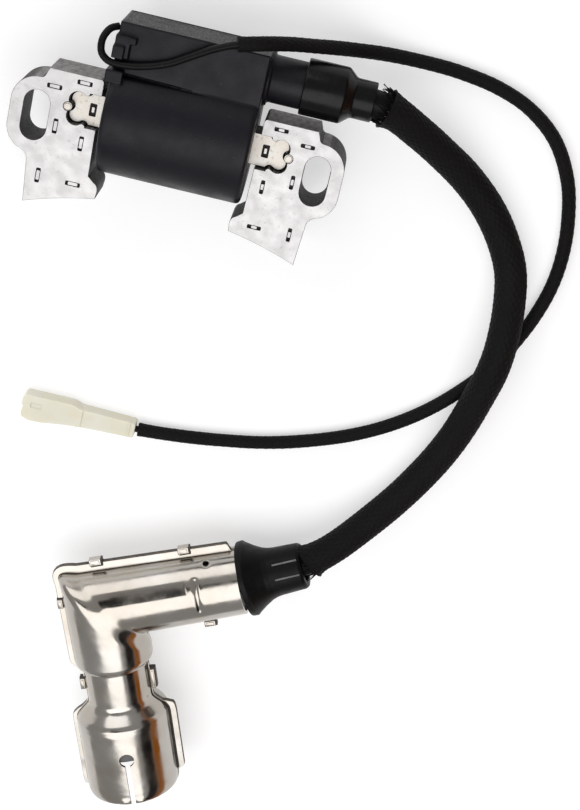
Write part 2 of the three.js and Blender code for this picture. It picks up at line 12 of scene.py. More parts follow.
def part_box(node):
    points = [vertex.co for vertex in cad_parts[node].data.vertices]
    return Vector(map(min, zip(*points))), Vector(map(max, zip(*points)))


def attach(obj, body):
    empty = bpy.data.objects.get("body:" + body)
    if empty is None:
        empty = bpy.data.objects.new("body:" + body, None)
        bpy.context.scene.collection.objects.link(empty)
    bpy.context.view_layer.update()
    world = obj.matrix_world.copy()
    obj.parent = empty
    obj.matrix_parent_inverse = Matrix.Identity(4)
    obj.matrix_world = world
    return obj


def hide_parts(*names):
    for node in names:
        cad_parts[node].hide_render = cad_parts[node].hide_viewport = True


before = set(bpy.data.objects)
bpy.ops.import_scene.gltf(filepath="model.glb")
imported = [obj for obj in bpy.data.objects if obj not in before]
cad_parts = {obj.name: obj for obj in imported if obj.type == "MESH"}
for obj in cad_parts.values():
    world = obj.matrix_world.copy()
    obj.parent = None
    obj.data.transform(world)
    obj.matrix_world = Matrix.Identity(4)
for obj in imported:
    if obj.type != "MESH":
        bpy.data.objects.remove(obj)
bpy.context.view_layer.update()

# Shapes are written in millimetres in the coil's own frame (X along the core bar, Y = 0 on the bar's
# axis) or in the plug cap's, and are taken to the row frame, in metres, when a piece is made.
MM = 0.001
BOX_TOP_Y = 24.4
COIL_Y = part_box("coil_case")[1].y - BOX_TOP_Y * MM
TO_ROW = Matrix.Translation((0, COIL_Y, 0)) @ Matrix.Scale(MM, 4)

CAP_ELBOW = Vector((5.7, -137.4, 13.3))
CAP_TURN = math.radians(18.95)
CAP_ROLL = math.radians(3.3)
CAP_TO_ROW = (
    TO_ROW
    @ Matrix.Translation(CAP_ELBOW)
    @ Matrix.Rotation(CAP_TURN, 4, "Z")
    @ Matrix.Rotation(CAP_ROLL, 4, "Y")
)
SEAL_TURN = math.radians(29.2)
SEAL_TO_ROW = TO_ROW @ Matrix.Translation((42.2, -121.3, 11.05)) @ Matrix.Rotation(SEAL_TURN, 4, "Z")

STACK_BACK_Z = 8.65
STACK_FRONT_Z = 21.35
AXIS_Z = 15.0
CASE_R = 15.4
CASE_HALF = 18.4
BOX_BACK_Z = 8.85
BOX_FRONT_Z = 25.05
BOX_WALL = 0.85
TOWER_Y, TOWER_Z, TOWER_R = 17.3, 15.3, 5.9
HT_LEAD_R = 3.5
HT_SLEEVE_R = 4.3
STOP_WIRE_R = 0.9
STOP_SLEEVE_R = 1.85

random.seed(7)


# -------------------- camera

def make_camera():
    data = bpy.data.cameras.new("camera")
    data.lens = 79.8
    data.sensor_width = 36
    data.clip_start = 0.01
    data.clip_end = 10
    camera = bpy.data.objects.new("camera", data)
    bpy.context.scene.collection.objects.link(camera)
    camera.location = (0.0359, 0.11285, 0.45361)
    camera.rotation_euler = [math.radians(degrees) for degrees in (-21.711, 4.236, 12.704)]
    bpy.context.scene.camera = camera


make_camera()


# -------------------- materials

def principled(name, colour, roughness, metallic=0.0, **sockets):
    """A Principled material; sockets are named with _ for a space."""
    made = bpy.data.materials.new(name)
    made.use_nodes = True
    shader = made.node_tree.nodes["Principled BSDF"]
    shader.inputs["Base Color"].default_value = (*colour, 1)
    shader.inputs["Roughness"].default_value = roughness
    shader.inputs["Metallic"].default_value = metallic
    for socket, value in sockets.items():
        shader.inputs[socket.replace("_", " ")].default_value = value
    return made


def node(made, kind, **settings):
    added = made.node_tree.nodes.new("ShaderNode" + kind)
    for key, value in settings.items():
        if key in added.inputs:
            added.inputs[key].default_value = value
        else:
            setattr(added, key, value)
    return added


def link(made, output, target):
    made.node_tree.links.new(output, target)


def noise_field(made, size_mm, detail=3.0, stretch=(1, 1, 1), low=0.35, high=0.65, rough=0.5):
    """Noise from 0 to 1 whose grains are about size_mm across, stretched along the axes."""
    place = node(made, "TexCoord")
    scale = node(made, "Mapping")
    scale.inputs["Scale"].default_value = [1 / (size_mm * MM * s) for s in stretch]
    link(made, place.outputs["Object"], scale.inputs["Vector"])
    texture = node(made, "TexNoise", Scale=1.0, Detail=detail, Roughness=rough)
    link(made, scale.outputs["Vector"], texture.inputs["Vector"])
    spread = node(made, "MapRange")
    spread.inputs["From Min"].default_value = low
    spread.inputs["From Max"].default_value = high
    link(made, texture.outputs["Fac"], spread.inputs["Value"])
    return spread.outputs["Result"]


def tint(made, colour, *grain, **field):
    """Mixes the base colour towards another one in patches of noise."""
    factor = noise_field(made, *grain, **field)
    base = made.node_tree.nodes["Principled BSDF"].inputs["Base Color"]
    mix = node(made, "Mix", data_type="RGBA")
    link(made, factor, mix.inputs["Factor"])
    if base.is_linked:
        link(made, base.links[0].from_socket, mix.inputs["A"])
    else:
        mix.inputs["A"].default_value = base.default_value
    mix.inputs["B"].default_value = (*colour, 1)
    link(made, mix.outputs["Result"], base)


def vary_roughness(made, low, high, *grain):
    """Noise patches from the low to the high roughness."""
    factor = noise_field(made, *grain)
    spread = node(made, "MapRange")
    spread.inputs["To Min"].default_value = low
    spread.inputs["To Max"].default_value = high
    link(made, factor, spread.inputs["Value"])
    link(made, spread.outputs["Result"], made.node_tree.nodes["Principled BSDF"].inputs["Roughness"])


def roughen(made, depth_mm, *grain, strength=1.0, **field):
    """Adds fine relief with noise for its height."""
    height = noise_field(made, *grain, **field)
    bump = node(made, "Bump", Strength=strength, Distance=depth_mm * MM)
    link(made, height, bump.inputs["Height"])
    link(made, bump.outputs["Normal"], made.node_tree.nodes["Principled BSDF"].inputs["Normal"])


def face_steel():
    made = principled("core_face_steel", (0.54, 0.528, 0.525), 0.42, 0.75)
    tint(made, (0.49, 0.48, 0.478), 9, 4)
    tint(made, (0.40, 0.39, 0.385), 0.7, 2, low=0.62, high=0.75)
    vary_roughness(made, 0.36, 0.5, 3, 4)
    roughen(made, 0.02, 0.35, 3, strength=0.6)
    return made


def sheared_steel():
    """Cut edges of the laminations: each sheet has its own tone."""
    made = principled("core_sheared_steel", (0.18, 0.172, 0.168), 0.5, 0.75)
    tint(made, (0.09, 0.085, 0.083), 0.5, 0, stretch=(60, 60, 1))
    tint(made, (0.25, 0.24, 0.234), 1.2, 3, stretch=(1, 1, 3))
    roughen(made, 0.04, 0.25, 2, stretch=(1, 1, 4))
    return made


# Near-black steel that stands in for shade: painted shade on the legs' slot walls, in the stake pockets, on
# the bar's sides and on the cut edges that face along the bar.
def painted_shade_steel():
    made = principled("core_painted_shade_steel", (0.013, 0.0115, 0.0115), 0.5, Specular_IOR_Level=0.22)
    tint(made, (0.015, 0.014, 0.014), 0.5, 0, stretch=(60, 60, 1))
    tint(made, (0.038, 0.034, 0.033), 2.5, 3)
    roughen(made, 0.04, 0.3, 2)
    return made


def bar_steel():
    made = principled("bar_steel", (0.52, 0.48, 0.43), 0.4, 0.75)
    tint(made, (0.55, 0.53, 0.50), 4, 4)
    tint(made, (0.36, 0.31, 0.26), 0.9, 3, low=0.6, high=0.72)
    roughen(made, 0.02, 0.4, 3, strength=0.6)
    return made


def moulded_black():
    made = principled("moulded_black", (0.0064, 0.0062, 0.0096), 0.38, Specular_IOR_Level=0.2)
    vary_roughness(made, 0.36, 0.5, 5, 4)
    tint(made, (0.02, 0.02, 0.021), 1.1, 4, low=0.66, high=0.8)
    roughen(made, 0.018, 0.6, 4, strength=0.7)
    return made


def potting_resin():
    made = principled("potting_resin", (0.03, 0.03, 0.031), 0.75)
    tint(made, (0.125, 0.125, 0.127), 0.6, 5, low=0.44, high=0.6, rough=0.65)
    tint(made, (0.026, 0.026, 0.026), 3.5, 2, low=0.45, high=0.75)
    roughen(made, 0.18, 0.5, 4)
    return made


def boot_rubber():
    made = principled("boot_rubber", (0.0026, 0.0026, 0.0032), 0.24, Specular_IOR_Level=0.19)
    vary_roughness(made, 0.2, 0.32, 4, 4)
    roughen(made, 0.02, 1.4, 4, strength=0.5)
    return made


def seal_rubber():
    made = principled("seal_rubber", (0.0024, 0.0024, 0.0026), 0.42, Specular_IOR_Level=0.13)
    vary_roughness(made, 0.36, 0.52, 3, 4)
    roughen(made, 0.015, 0.5, 3, strength=0.6)
    return made


def rib_highlight_rubber():
    """Pale rubber on the seal's grip ribs: painted highlight along their crests."""
    made = principled("rib_highlight_rubber", (0.16, 0.16, 0.162), 0.3, Specular_IOR_Level=0.3)
    tint(made, (0.09, 0.09, 0.092), 2.5, 3)
    return made


def wire_insulation():
    made = principled("wire_insulation", (0.0035, 0.0035, 0.0037), 0.42, Specular_IOR_Level=0.13)
    tint(made, (0.012, 0.012, 0.012), 1.2, 4, low=0.6, high=0.75)
    roughen(made, 0.03, 0.6, 3, strength=0.7)
    return made


def woven_glass():
    made = principled("woven_glass", (0.0035, 0.0034, 0.0034), 0.6, Specular_IOR_Level=0.11)
    tint(made, (0.005, 0.0047, 0.0047), 14, 3)
    tint(made, (0.009, 0.009, 0.009), 0.35, 2, low=0.55, high=0.75)
    roughen(made, 0.04, 0.2, 2)
    return made


def bare_glass_fibre():
    made = principled("bare_glass_fibre", (0.75, 0.75, 0.74), 0.35)
    tint(made, (0.66, 0.66, 0.64), 0.3, 2)
    return made


def natural_nylon():
    made = principled(
        "natural_nylon", (0.70, 0.675, 0.535), 0.4, Subsurface_Weight=0.35, Subsurface_Scale=0.002,
        Subsurface_Radius=(1.0, 0.95, 0.75),
    )
    tint(made, (0.73, 0.705, 0.61), 9, 2)
    tint(made, (0.71, 0.66, 0.52), 4, 1, low=0.55, high=0.7)
    roughen(made, 0.05, 1.5, 3, strength=0.6)
    return made


def bright_plate():
    made = principled("bright_plate", (0.44, 0.418, 0.39), 0.17, 1.0)
    vary_roughness(made, 0.13, 0.24, 5, 4)
    tint(made, (0.40, 0.365, 0.32), 14, 3)
    tint(made, (0.33, 0.29, 0.24), 0.9, 4, low=0.68, high=0.8)
    roughen(made, 0.08, 9, 2, strength=0.5)
    return made


def plate_edge():
    """The sheet's cut edge, where the plating is dull."""
    made = principled("plate_edge", (0.13, 0.115, 0.10), 0.4, 0.9)
    tint(made, (0.08, 0.07, 0.06), 1.5, 3)
    return made


def painted_crease_shade():
    """Dark plating that stands in for shade: painted shade at the lips' roots, on the tabs' dark strips and
    on the walls of the holes.
    """
    made = principled("painted_crease_shade", (0.035, 0.027, 0.02), 0.5, 0.3)
    tint(made, (0.018, 0.014, 0.01), 1.5, 3)
    return made


def plain(name, colour, roughness, metallic=0.0, grain=1.0):
    """A hidden piece's material, with a little grain."""
    made = principled(name, colour, roughness, metallic)
    tint(made, [c * 0.75 for c in colour], grain, 3)
    roughen(made, 0.02, grain / 2, 2)
    return made


FACE = face_steel()
EDGE = sheared_steel()
SHADE_STEEL = painted_shade_steel()
BAR = bar_steel()
CASE = moulded_black()
RESIN = potting_resin()
BOOT = boot_rubber()
SEAL = seal_rubber()
SEAL_RIB_HIGHLIGHT = rib_highlight_rubber()
WIRE = wire_insulation()
BRAID = woven_glass()
FIBRE = bare_glass_fibre()
NYLON = natural_nylon()
PLATE = bright_plate()
PLATE_EDGE = plate_edge()
CREASE_SHADE = painted_crease_shade()
COLLAR = plain("collar_rubber", (0.12, 0.117, 0.112), 0.5)
BRASS = plain("brass", (0.6, 0.43, 0.17), 0.3, 1.0)
COPPER = plain("enamelled_copper", (0.5, 0.19, 0.07), 0.3, 0.9, 0.3)
BOBBIN = plain("bobbin_nylon", (0.5, 0.45, 0.32), 0.5)
BOARD = plain("circuit_board", (0.02, 0.12, 0.05), 0.45)
MODULE = plain("module_black", (0.02, 0.02, 0.02), 0.5)
CERAMIC = plain("ceramic", (0.5, 0.44, 0.34), 0.6)
SPRING = plain("spring_steel", (0.55, 0.55, 0.55), 0.3, 1.0)


# -------------------- meshes

def new_object(name, verts, faces, matrix=TO_ROW):
    mesh = bpy.data.meshes.new(name)
    mesh.from_pydata([tuple(v) for v in verts], [], faces)
    mesh.transform(matrix)
    made = bpy.data.objects.new(name, mesh)
    bpy.context.scene.collection.objects.link(made)
    return made


def face_out(made, weld_distance=0.0):
    """Joins vertices that are closer than the distance, and turns every face outwards."""
    mesh = bmesh.new()
    mesh.from_mesh(made.data)
    if weld_distance:
        bmesh.ops.remove_doubles(mesh, verts=mesh.verts, dist=weld_distance)
    bmesh.ops.recalc_face_normals(mesh, faces=mesh.faces)
    mesh.to_mesh(made.data)
    mesh.free()
    return made


def weld(made):
    return face_out(made, 1e-3 * MM)


def give(made, materials, kinds=None):
    """Gives a mesh its materials and, when kinds is given, each face's place in them."""
    for material in materials:
        made.data.materials.append(material)
    if kinds is not None:
        made.data.polygons.foreach_set("material_index", kinds)
    return made


def shade(made, degrees=32):
    made.data.shade_smooth()
    made.data.set_sharp_from_angle(angle=math.radians(degrees))
    return made


def apply_modifiers(made):
    bpy.context.view_layer.update()
    graph = bpy.context.evaluated_depsgraph_get()
    mesh = bpy.data.meshes.new_from_object(made.evaluated_get(graph))
    made.modifiers.clear()
    made.data = mesh
    return made


def boolean(body, operation, *tools):
    for tool in tools:
        step = body.modifiers.new(operation, "BOOLEAN")
        step.operation = operation
        step.solver = "EXACT"
        step.object = tool
    apply_modifiers(body)
    for tool in tools:
        bpy.data.objects.remove(tool)
    return body


def soften(made, voxel_mm, passes):
    """Melts a solid's pieces into one skin with rounded edges."""
    remesh = made.modifiers.new("remesh", "REMESH")
    remesh.mode = "VOXEL"
    remesh.voxel_size = voxel_mm * MM
    smooth = made.modifiers.new("smooth", "SMOOTH")
    smooth.factor = 0.5
    smooth.iterations = passes
    return apply_modifiers(made)


def thicken(made, depth_mm):
    """Gives a skin its thickness, behind its faces."""
    thick = made.modifiers.new("thick", "SOLIDIFY")
    thick.thickness = depth_mm * MM
    thick.offset = -1
    return apply_modifiers(made)


def piece(made, materials, slot, *nodes):
    """Puts a finished piece on the coil, with its materials, and hides the CAD parts it stands for; the slot
    is not used.
    """
    if not made.data.materials:
        give(made, materials)
    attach(made, "root")
    if nodes:
        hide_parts(*nodes)
    return made


def grid_faces(rows, columns, wrap):
    faces = []
    for i in range(rows - 1):
        for j in range(columns if wrap else columns - 1):
            k = (j + 1) % columns
            faces.append((i * columns + j, i * columns + k, (i + 1) * columns + k, (i + 1) * columns + j))
    return faces


def box(name, low, high, matrix=TO_ROW):
    corners = [(x, y, z) for x in (low[0], high[0]) for y in (low[1], high[1]) for z in (low[2], high[2])]
    faces = [(0, 1, 3, 2), (4, 6, 7, 5), (0, 4, 5, 1), (2, 3, 7, 6), (0, 2, 6, 4), (1, 5, 7, 3)]
    return new_object(name, corners, faces, matrix)


def bevelled_box(name, low, high, radius, matrix=TO_ROW, segments=3):
    made = box(name, low, high, matrix)
    bevel = made.modifiers.new("bevel", "BEVEL")
    bevel.width = radius * MM
    bevel.segments = segments
    return apply_modifiers(made)


def filleted(points, radius, steps=5):
    """An open line of points with its inner corners rounded."""
    line = [Vector(p) for p in points]
    result = [line[0]]
    for a, corner, b in zip(line, line[1:], line[2:]):
        reach = min(radius, (a - corner).length / 2, (b - corner).length / 2)
        start = corner + (a - corner).normalized() * reach
        end = corner + (b - corner).normalized() * reach
        for i in range(steps + 1):
            t = i / steps
            result.append(start * (1 - t) ** 2 + corner * 2 * t * (1 - t) + end * t ** 2)
    return [*result, line[-1]]


def lathe(name, profile, centre=(0, 0, 0), sides=96, matrix=TO_ROW):
    """Turned body about a line along X; the profile lists (x, radius) and ends on the line or closes."""
    verts = []
    for x, r in profile:
        for j in range(sides):
            a = math.tau * j / sides
            verts.append((centre[0] + x, centre[1] + r * math.cos(a), centre[2] + r * math.sin(a)))
    return weld(new_object(name, verts, grid_faces(len(profile), sides, True), matrix))


# -------------------- cords

def smooth_route(points, count):
    """Evenly spaced points on the centripetal Catmull-Rom curve through the given ones."""
    knots = [Vector(p) for p in points]
    ends = [knots[0] * 2 - knots[1], *knots, knots[-1] * 2 - knots[-2]]
    dense = []
    for before, a, b, after in zip(ends, ends[1:], ends[2:], ends[3:]):
        g0, g1, g2 = (math.sqrt((q - p).length) for p, q in ((before, a), (a, b), (b, after)))
        leave = ((a - before) / g0 - (b - before) / (g0 + g1) + (b - a) / g1) * g1
        arrive = ((b - a) / g1 - (after - a) / (g1 + g2) + (after - b) / g2) * g1
        for i in range(40):
            t = i / 40
            square = (b - a) * 3 - leave * 2 - arrive
            cube = (a - b) * 2 + leave + arrive
            dense.append(a + leave * t + square * t ** 2 + cube * t ** 3)
    dense.append(knots[-1])
    line = np.array([tuple(p) for p in dense])
    run = np.concatenate([[0], np.cumsum(np.linalg.norm(np.diff(line, axis=0), axis=1))])
    wanted = np.linspace(0, run[-1], count)
    return np.stack([np.interp(wanted, run, line[:, k]) for k in range(3)], axis=1), float(run[-1])


def frames_along(line):
    """Two directions across the line at each point, carried along without twist."""
    along = np.gradient(line, axis=0)
    along /= np.linalg.norm(along, axis=1)[:, None]
    across = [np.cross(along[0], (0, 0, 1))]
    for direction in along[1:]:
        carried = across[-1] - direction * (across[-1] @ direction)
        across.append(carried / np.linalg.norm(carried))
    across[0] /= np.linalg.norm(across[0])
    across = np.array(across)
    return across, np.cross(along, across)


def cord_curve(name, line, radius):
    data = bpy.data.curves.new(name, "CURVE")
    data.dimensions = "3D"
    data.bevel_depth = radius * MM
    data.bevel_resolution = 6
    data.use_fill_caps = True
    spline = data.splines.new("POLY")
    spline.points.add(len(line) - 1)
    for point, place in zip(spline.points, line):
        point.co = (*place, 1)
    made = bpy.data.objects.new(name, data)
    bpy.context.scene.collection.objects.link(made)
    return made


# The leads' routes are the CAD's, in metres, in the coil's frame.
HT_ROUTE = [
    (0.0270, 0.0173, 0.0153),
    (0.0360, 0.0173, 0.0153),
    (0.0430, 0.0173, 0.0153),
    (0.0470, 0.0169, 0.0151),
    (0.0510, 0.0157, 0.0145),
    (0.0575, 0.0121, 0.0119),
    (0.0652, 0.0073, 0.0085),
    (0.0730, 0.0019, 0.0058),
    (0.0800, -0.0043, 0.0046),
    (0.0858, -0.0114, 0.0044),
    (0.0902, -0.0195, 0.0046),
    (0.0922, -0.0280, 0.0057),
    (0.0929, -0.0370, 0.0078),
    (0.0925, -0.0455, 0.0088),
    (0.0908, -0.0550, 0.0077),
    (0.0887, -0.0650, 0.0058),
    (0.0855, -0.0746, 0.0047),
    (0.0812, -0.0835, 0.0045),
    (0.0762, -0.0917, 0.0051),
    (0.0704, -0.0992, 0.0069),
    (0.0645, -0.1058, 0.0093),
    (0.0608, -0.1092, 0.0104),
    (0.0560, -0.1131, 0.0110),
    (0.0486, -0.1177, 0.0110),
    (0.0413, -0.1218, 0.0111),
    (0.0300, -0.1268, 0.0118),
    (0.0203, -0.1310, 0.0124),
]
STOP_ROUTE = [
    (-0.0189, 0.0226, 0.0230),
    (-0.0206, 0.0219, 0.0243),
    (-0.0219, 0.0193, 0.0256),
    (-0.0215, 0.0162, 0.0263),
    (-0.0196, 0.0146, 0.0264),
    (-0.0166, 0.0143, 0.0264),
    (-0.0130, 0.0147, 0.0264),
    (-0.0094, 0.0156, 0.0264),
    (-0.0050, 0.0173, 0.0264),
    (-0.0005, 0.0200, 0.0265),
    (0.0045, 0.0231, 0.0269),
    (0.0097, 0.0256, 0.0273),
    (0.0155, 0.0270, 0.0260),
    (0.0220, 0.0275, 0.0209),
    (0.0290, 0.0275, 0.0149),
    (0.0376, 0.0276, 0.0090),
    (0.0469, 0.0276, 0.0044),
    (0.0562, 0.0274, 0.0023),
    (0.0654, 0.0269, 0.00195),
    (0.0754, 0.0253, 0.00195),
    (0.0842, 0.0220, 0.00195),
    (0.0923, 0.0159, 0.00195),
    (0.0982, 0.0067, 0.00195),
    (0.1013, -0.0035, 0.00195),
    (0.1025, -0.0135, 0.00195),
    (0.1020, -0.0224, 0.00195),
    (0.0999, -0.0312, 0.00195),
    (0.0963, -0.0405, 0.00195),
    (0.0917, -0.0491, 0.00195),
    (0.0858, -0.0568, 0.00195),
    (0.0788, -0.0640, 0.00195),
    (0.0702, -0.0706, 0.00195),
    (0.0601, -0.0763, 0.00195),
    (0.0492, -0.0807, 0.00195),
    (0.0380, -0.0841, 0.00195),
    (0.0265, -0.0863, 0.00195),
    (0.0148, -0.0879, 0.0020),
    (0.0034, -0.0887, 0.0022),
    (-0.0075, -0.0887, 0.0023),
]


def route_in_row(points, count):
    return smooth_route([(x, y + COIL_Y, z) for x, y, z in points], count)


HT_LINE, HT_LENGTH = route_in_row(HT_ROUTE, 240)
STOP_LINE, STOP_LENGTH = route_in_row(STOP_ROUTE, 420)
HT_SLEEVE_SPAN = (4 / 42, 34.1 / 42)  # shares of the lead's length between which it is sleeved
STOP_SLEEVE_SPAN = (10 / 72, 69.4 / 72)


def stretch(line, start, end, count):
    """Evenly spaced points on the part of an evenly spaced line between two shares of its length."""
    at = np.linspace(start, end, count) * (len(line) - 1)
    return np.stack([np.interp(at, np.arange(len(line)), line[:, k]) for k in range(3)], axis=1)


def braided_sleeve(name, line, radius, wall, around, cell_mm, relief, flare, slant=0.0):
    """Hollow woven tube: two families of strands that pass over and under each other."""
    length = float(np.linalg.norm(np.diff(line, axis=0), axis=1).sum()) / MM
    per_cell = 6
    columns = around * per_cell
    rows = max(40, int(length / cell_mm * per_cell))
    centre = stretch(line, 0, 1, rows)
    across, other = frames_along(centre)
    along_mm = np.linspace(0, length, rows)[:, None]
    turn = np.linspace(0, 1, columns, endpoint=False)[None, :]
    right = around * turn + along_mm / (2 * cell_mm)
    left = around * turn - along_mm / (2 * cell_mm)
    over = (np.floor(right) + np.floor(left)) % 2
    ridge_right = np.abs(np.sin(math.pi * right))
    ridge_left = np.abs(np.sin(math.pi * left))
    high = np.where(over > 0, ridge_right * ridge_left ** 0.4, ridge_left * ridge_right ** 0.4)
    drift = np.array([
        [noise(Vector((r * 0.09, math.cos(a) * 1.3, math.sin(a) * 1.3))) for a in turn[0] * math.tau]
        for r in along_mm[:, 0]
    ])
    ends = np.minimum(along_mm, length - along_mm)
    opened = flare * np.exp(-ends / 1.6)
    size = (radius - relief + relief * high + opened + 0.12 * np.minimum(drift, 0)) * MM
    angle = turn * math.tau
    ring = across[:, None, :] * np.cos(angle)[..., None] + other[:, None, :] * np.sin(angle)[..., None]
    along = np.gradient(centre, axis=0)
    along /= np.linalg.norm(along, axis=1)[:, None]
    left_side = (ring * np.cross(along, (0, 0, 1))[:, None, :]).sum(axis=2)
    ahead = slant * MM * left_side * np.exp(-(length - along_mm) / 2.5)
    centre = centre[:, None, :] + along[:, None, :] * ahead[..., None]
    outer = centre + ring * size[..., None]
    inner = centre + ring * (radius - wall) * MM
    skin = np.concatenate([inner[:1], outer, inner[-1:], inner[::-1][::per_cell]], axis=0)
    verts = skin.reshape(-1, 3)
    made = new_object(name, verts, grid_faces(len(skin), columns, True), Matrix.Identity(4))
    return shade(weld(made), 60)


def frayed_end(name, line, at_end, radius, count, longest, pale):
    """Loose strands that stand out of a cut sleeve; a few short ones at the front are bare glass."""
    start = line[-1] if at_end else line[0]
    ahead = (line[-1] - line[-4]) if at_end else (line[0] - line[3])
    ahead = ahead / np.linalg.norm(ahead)
    side = np.cross(ahead, (0, 0, 1))
    side /= np.linalg.norm(side)
    rise = np.cross(ahead, side)
    verts, faces, kinds = [], [], []
    for strand in range(count):
        turn = math.tau * (strand + random.random()) / count
        out = side * math.cos(turn) + rise * math.sin(turn)
        around = np.cross(ahead, out)
        length = longest * random.uniform(0.3, 1) ** 1.3
        splay = random.uniform(-0.25, 0.3)
        thick = random.uniform(0.14, 0.28)
        swirl = random.uniform(-0.6, 0.6)
        bare = pale and out[2] > 0.35 and strand % pale == 0
        if bare:
            length, splay, thick = longest * 0.3, 0.0, 0.3
        base = len(verts)
        for step in range(5):
            t = step / 4
            drift = out * (radius - 0.3 + splay * length * t) + around * swirl * length * t * t
            centre = start + (drift + ahead * (length * t - 1.2)) * MM
            for corner in range(4):
                a = math.tau * corner / 4
                width = thick * (1 - 0.6 * t) * MM
                verts.append(centre + (out * math.cos(a) + around * math.sin(a)) * width)
        faces += [tuple(base + i for i in face) for face in grid_faces(5, 4, True)]
        faces.append(tuple(base + i for i in (3, 2, 1, 0)))
        faces.append(tuple(base + 16 + i for i in (0, 1, 2, 3)))
        kinds += [1 if bare else 0] * 18
    made = shade(new_object(name, verts, faces, Matrix.Identity(4)), 80)
    return piece(give(made, (BRAID, FIBRE), kinds), [], "braid_black")


ht_lead = piece(cord_curve("ht_lead_cord", HT_LINE, HT_LEAD_R), [WIRE], "rubber_black", "ht_lead")
stop_wire = piece(cord_curve("stop_wire_cord", STOP_LINE, STOP_WIRE_R), [WIRE], "wire_black", "stop_wire")

ht_run = stretch(HT_LINE, *HT_SLEEVE_SPAN, 172)
stop_run = stretch(STOP_LINE, *STOP_SLEEVE_SPAN, 346)
ht_sleeve = piece(
    braided_sleeve("ht_sleeve_braid", ht_run, HT_SLEEVE_R, 0.45, 20, 1.35, 0.2, 1.0, 1.3),
    [BRAID], "braid_black", "ht_lead_sleeve",
)
stop_sleeve = piece(
    braided_sleeve("stop_sleeve_braid", stop_run, STOP_SLEEVE_R, 0.35, 10, 1.15, 0.13, 0.1),
    [BRAID], "braid_black", "stop_wire_sleeve",
)
ht_frays = [
    frayed_end("ht_sleeve_fray_coil", ht_run, False, HT_SLEEVE_R, 170, 5.0, 12),
    frayed_end("ht_sleeve_fray_cap", ht_run, True, HT_SLEEVE_R, 130, 3.6, 0),
]
stop_frays = [
    frayed_end("stop_sleeve_fray_coil", stop_run, False, STOP_SLEEVE_R, 34, 2.0, 6),
    frayed_end("stop_sleeve_fray_end", stop_run, True, STOP_SLEEVE_R, 18, 1.2, 0),
]


# -------------------- core

def cad_outline(name):
    """The outlines of a CAD plate's front face in the coil's frame, in mm, the outer one first."""
    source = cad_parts[name].data
    mesh = bmesh.new()
    mesh.from_mesh(source)
    bmesh.ops.remove_doubles(mesh, verts=mesh.verts, dist=1e-6)
    top = max(v.co.z for v in mesh.verts) - 1e-5
    front = {f for f in mesh.faces if all(v.co.z > top for v in f.verts)}
    follow = {}
    for edge in mesh.edges:
        if sum(f in front for f in edge.link_faces) == 1:
            for a, b in (edge.verts, reversed(edge.verts)):
                follow.setdefault(a.index, []).append(b.index)
    places = [(v.co.x / MM, (v.co.y - COIL_Y) / MM) for v in mesh.verts]
    mesh.free()
    loops = []
    while follow:
        start = next(iter(follow))
        loop = [start]
        while True:
            ahead = [v for v in follow.pop(loop[-1]) if v in follow or (v == start and len(loop) > 2)]
            if not ahead or ahead[0] == start:
                break
            loop.append(ahead[0])
        loops.append([places[i] for i in loop])
    return sorted(loops, key=lambda loop: -abs(signed_area(loop)))


def signed_area(loop):
    return sum(a[0] * b[1] - b[0] * a[1] for a, b in zip(loop, loop[1:] + loop[:1])) / 2


def inset(loop, distance):
    """The outline moved towards its left side, which is the metal's side."""
    result = []
    for before, here, after in zip(loop[-1:] + loop[:-1], loop, loop[1:] + loop[:1]):
        a = (Vector(here) - Vector(before)).normalized()
        b = (Vector(after) - Vector(here)).normalized()
        mean = Vector((-a.y - b.y, a.x + b.x))
        if mean.length < 1e-6:
            result.append(here)
            continue
        mean.normalize()
        grown = distance / max(0.5, mean.dot(Vector((-a.y, a.x))))
        result.append((here[0] + mean.x * grown, here[1] + mean.y * grown))
    return result


SHEETS = 25


def laminated(name, loops, back, front, round_front=0.1):
    """A stack of sheets with a fine groove between each two, and the outermost edges worn round."""
    loops = [
        loop if (signed_area(loop) > 0) == (index == 0) else loop[::-1] for index, loop in enumerate(loops)
    ]
    sheet = (front - back) / SHEETS
    worn = round_front * 0.3
    levels = [(back, round_front), (back + worn, worn)]
    for index in range(SHEETS):
        low = back + index * sheet
        levels += [(low + 0.06, 0.0), (low + sheet - 0.06, 0.0)]
        if index < SHEETS - 1:
            levels.append((low + sheet, 0.05))
    levels = levels[:2] + levels[3:-1]
    levels += [(front - round_front, 0.0), (front - worn, worn), (front, round_front)]
    verts, faces, which = [], [], []
    rims = {"back": [], "front": []}
    for number, loop in enumerate(loops):
        base = len(verts)
        for z, depth in levels:
            verts += [(x, y, z) for x, y in inset(loop, depth)]
        count = len(loop)
        made = [tuple(base + i for i in face) for face in grid_faces(len(levels), count, True)]
        faces += made
        # The outer walls take the sheared steel and the slot walls the near-black steel: painted shade
        # inside the slots.
        which += [1 if number == 0 else 2] * len(made)
        rims["back"].append((base, inset(loop, round_front)))
        rims["front"].append((base + (len(levels) - 1) * count, inset(loop, round_front)))
    for side, flip in (("back", True), ("front", False)):
        starts = [start + i for start, ring in rims[side] for i in range(len(ring))]
        rings = [[Vector((x, y, 0)) for x, y in ring] for _, ring in rims[side]]
        for triangle in tessellate_polygon(rings):
            corners = tuple(starts[i] for i in triangle)
            faces.append(corners[::-1] if flip else corners)
            which.append(0)
    return face_out(give(new_object(name, verts, faces), (FACE, EDGE, SHADE_STEEL), which))


WIDE_STAKE = {"length": 3.8, "width": 1.2, "end": 0.7, "gap": 0.2}  # on the left leg
NARROW_STAKE = {"length": 3.6, "width": 1.05, "end": 1.1, "gap": 0.2}  # on the right leg
BAR_STAKE = {"length": 3.3, "width": 1.8, "end": 1.0, "gap": 0.58}
STAKE_DEPTH = 0.8
ISLAND_DEPTH = 0.12
LEG_STAKES = [  # (x, y, turned upright) on the right leg; the left one mirrors them
    (31.9, 4.1, False),
    (24.7, 6.6, False),
    (30.1, -5.6, True),
    (23.1, -8.5, True),
    (32.3, -18.9, True),
    (23.3, -19.1, False),
]


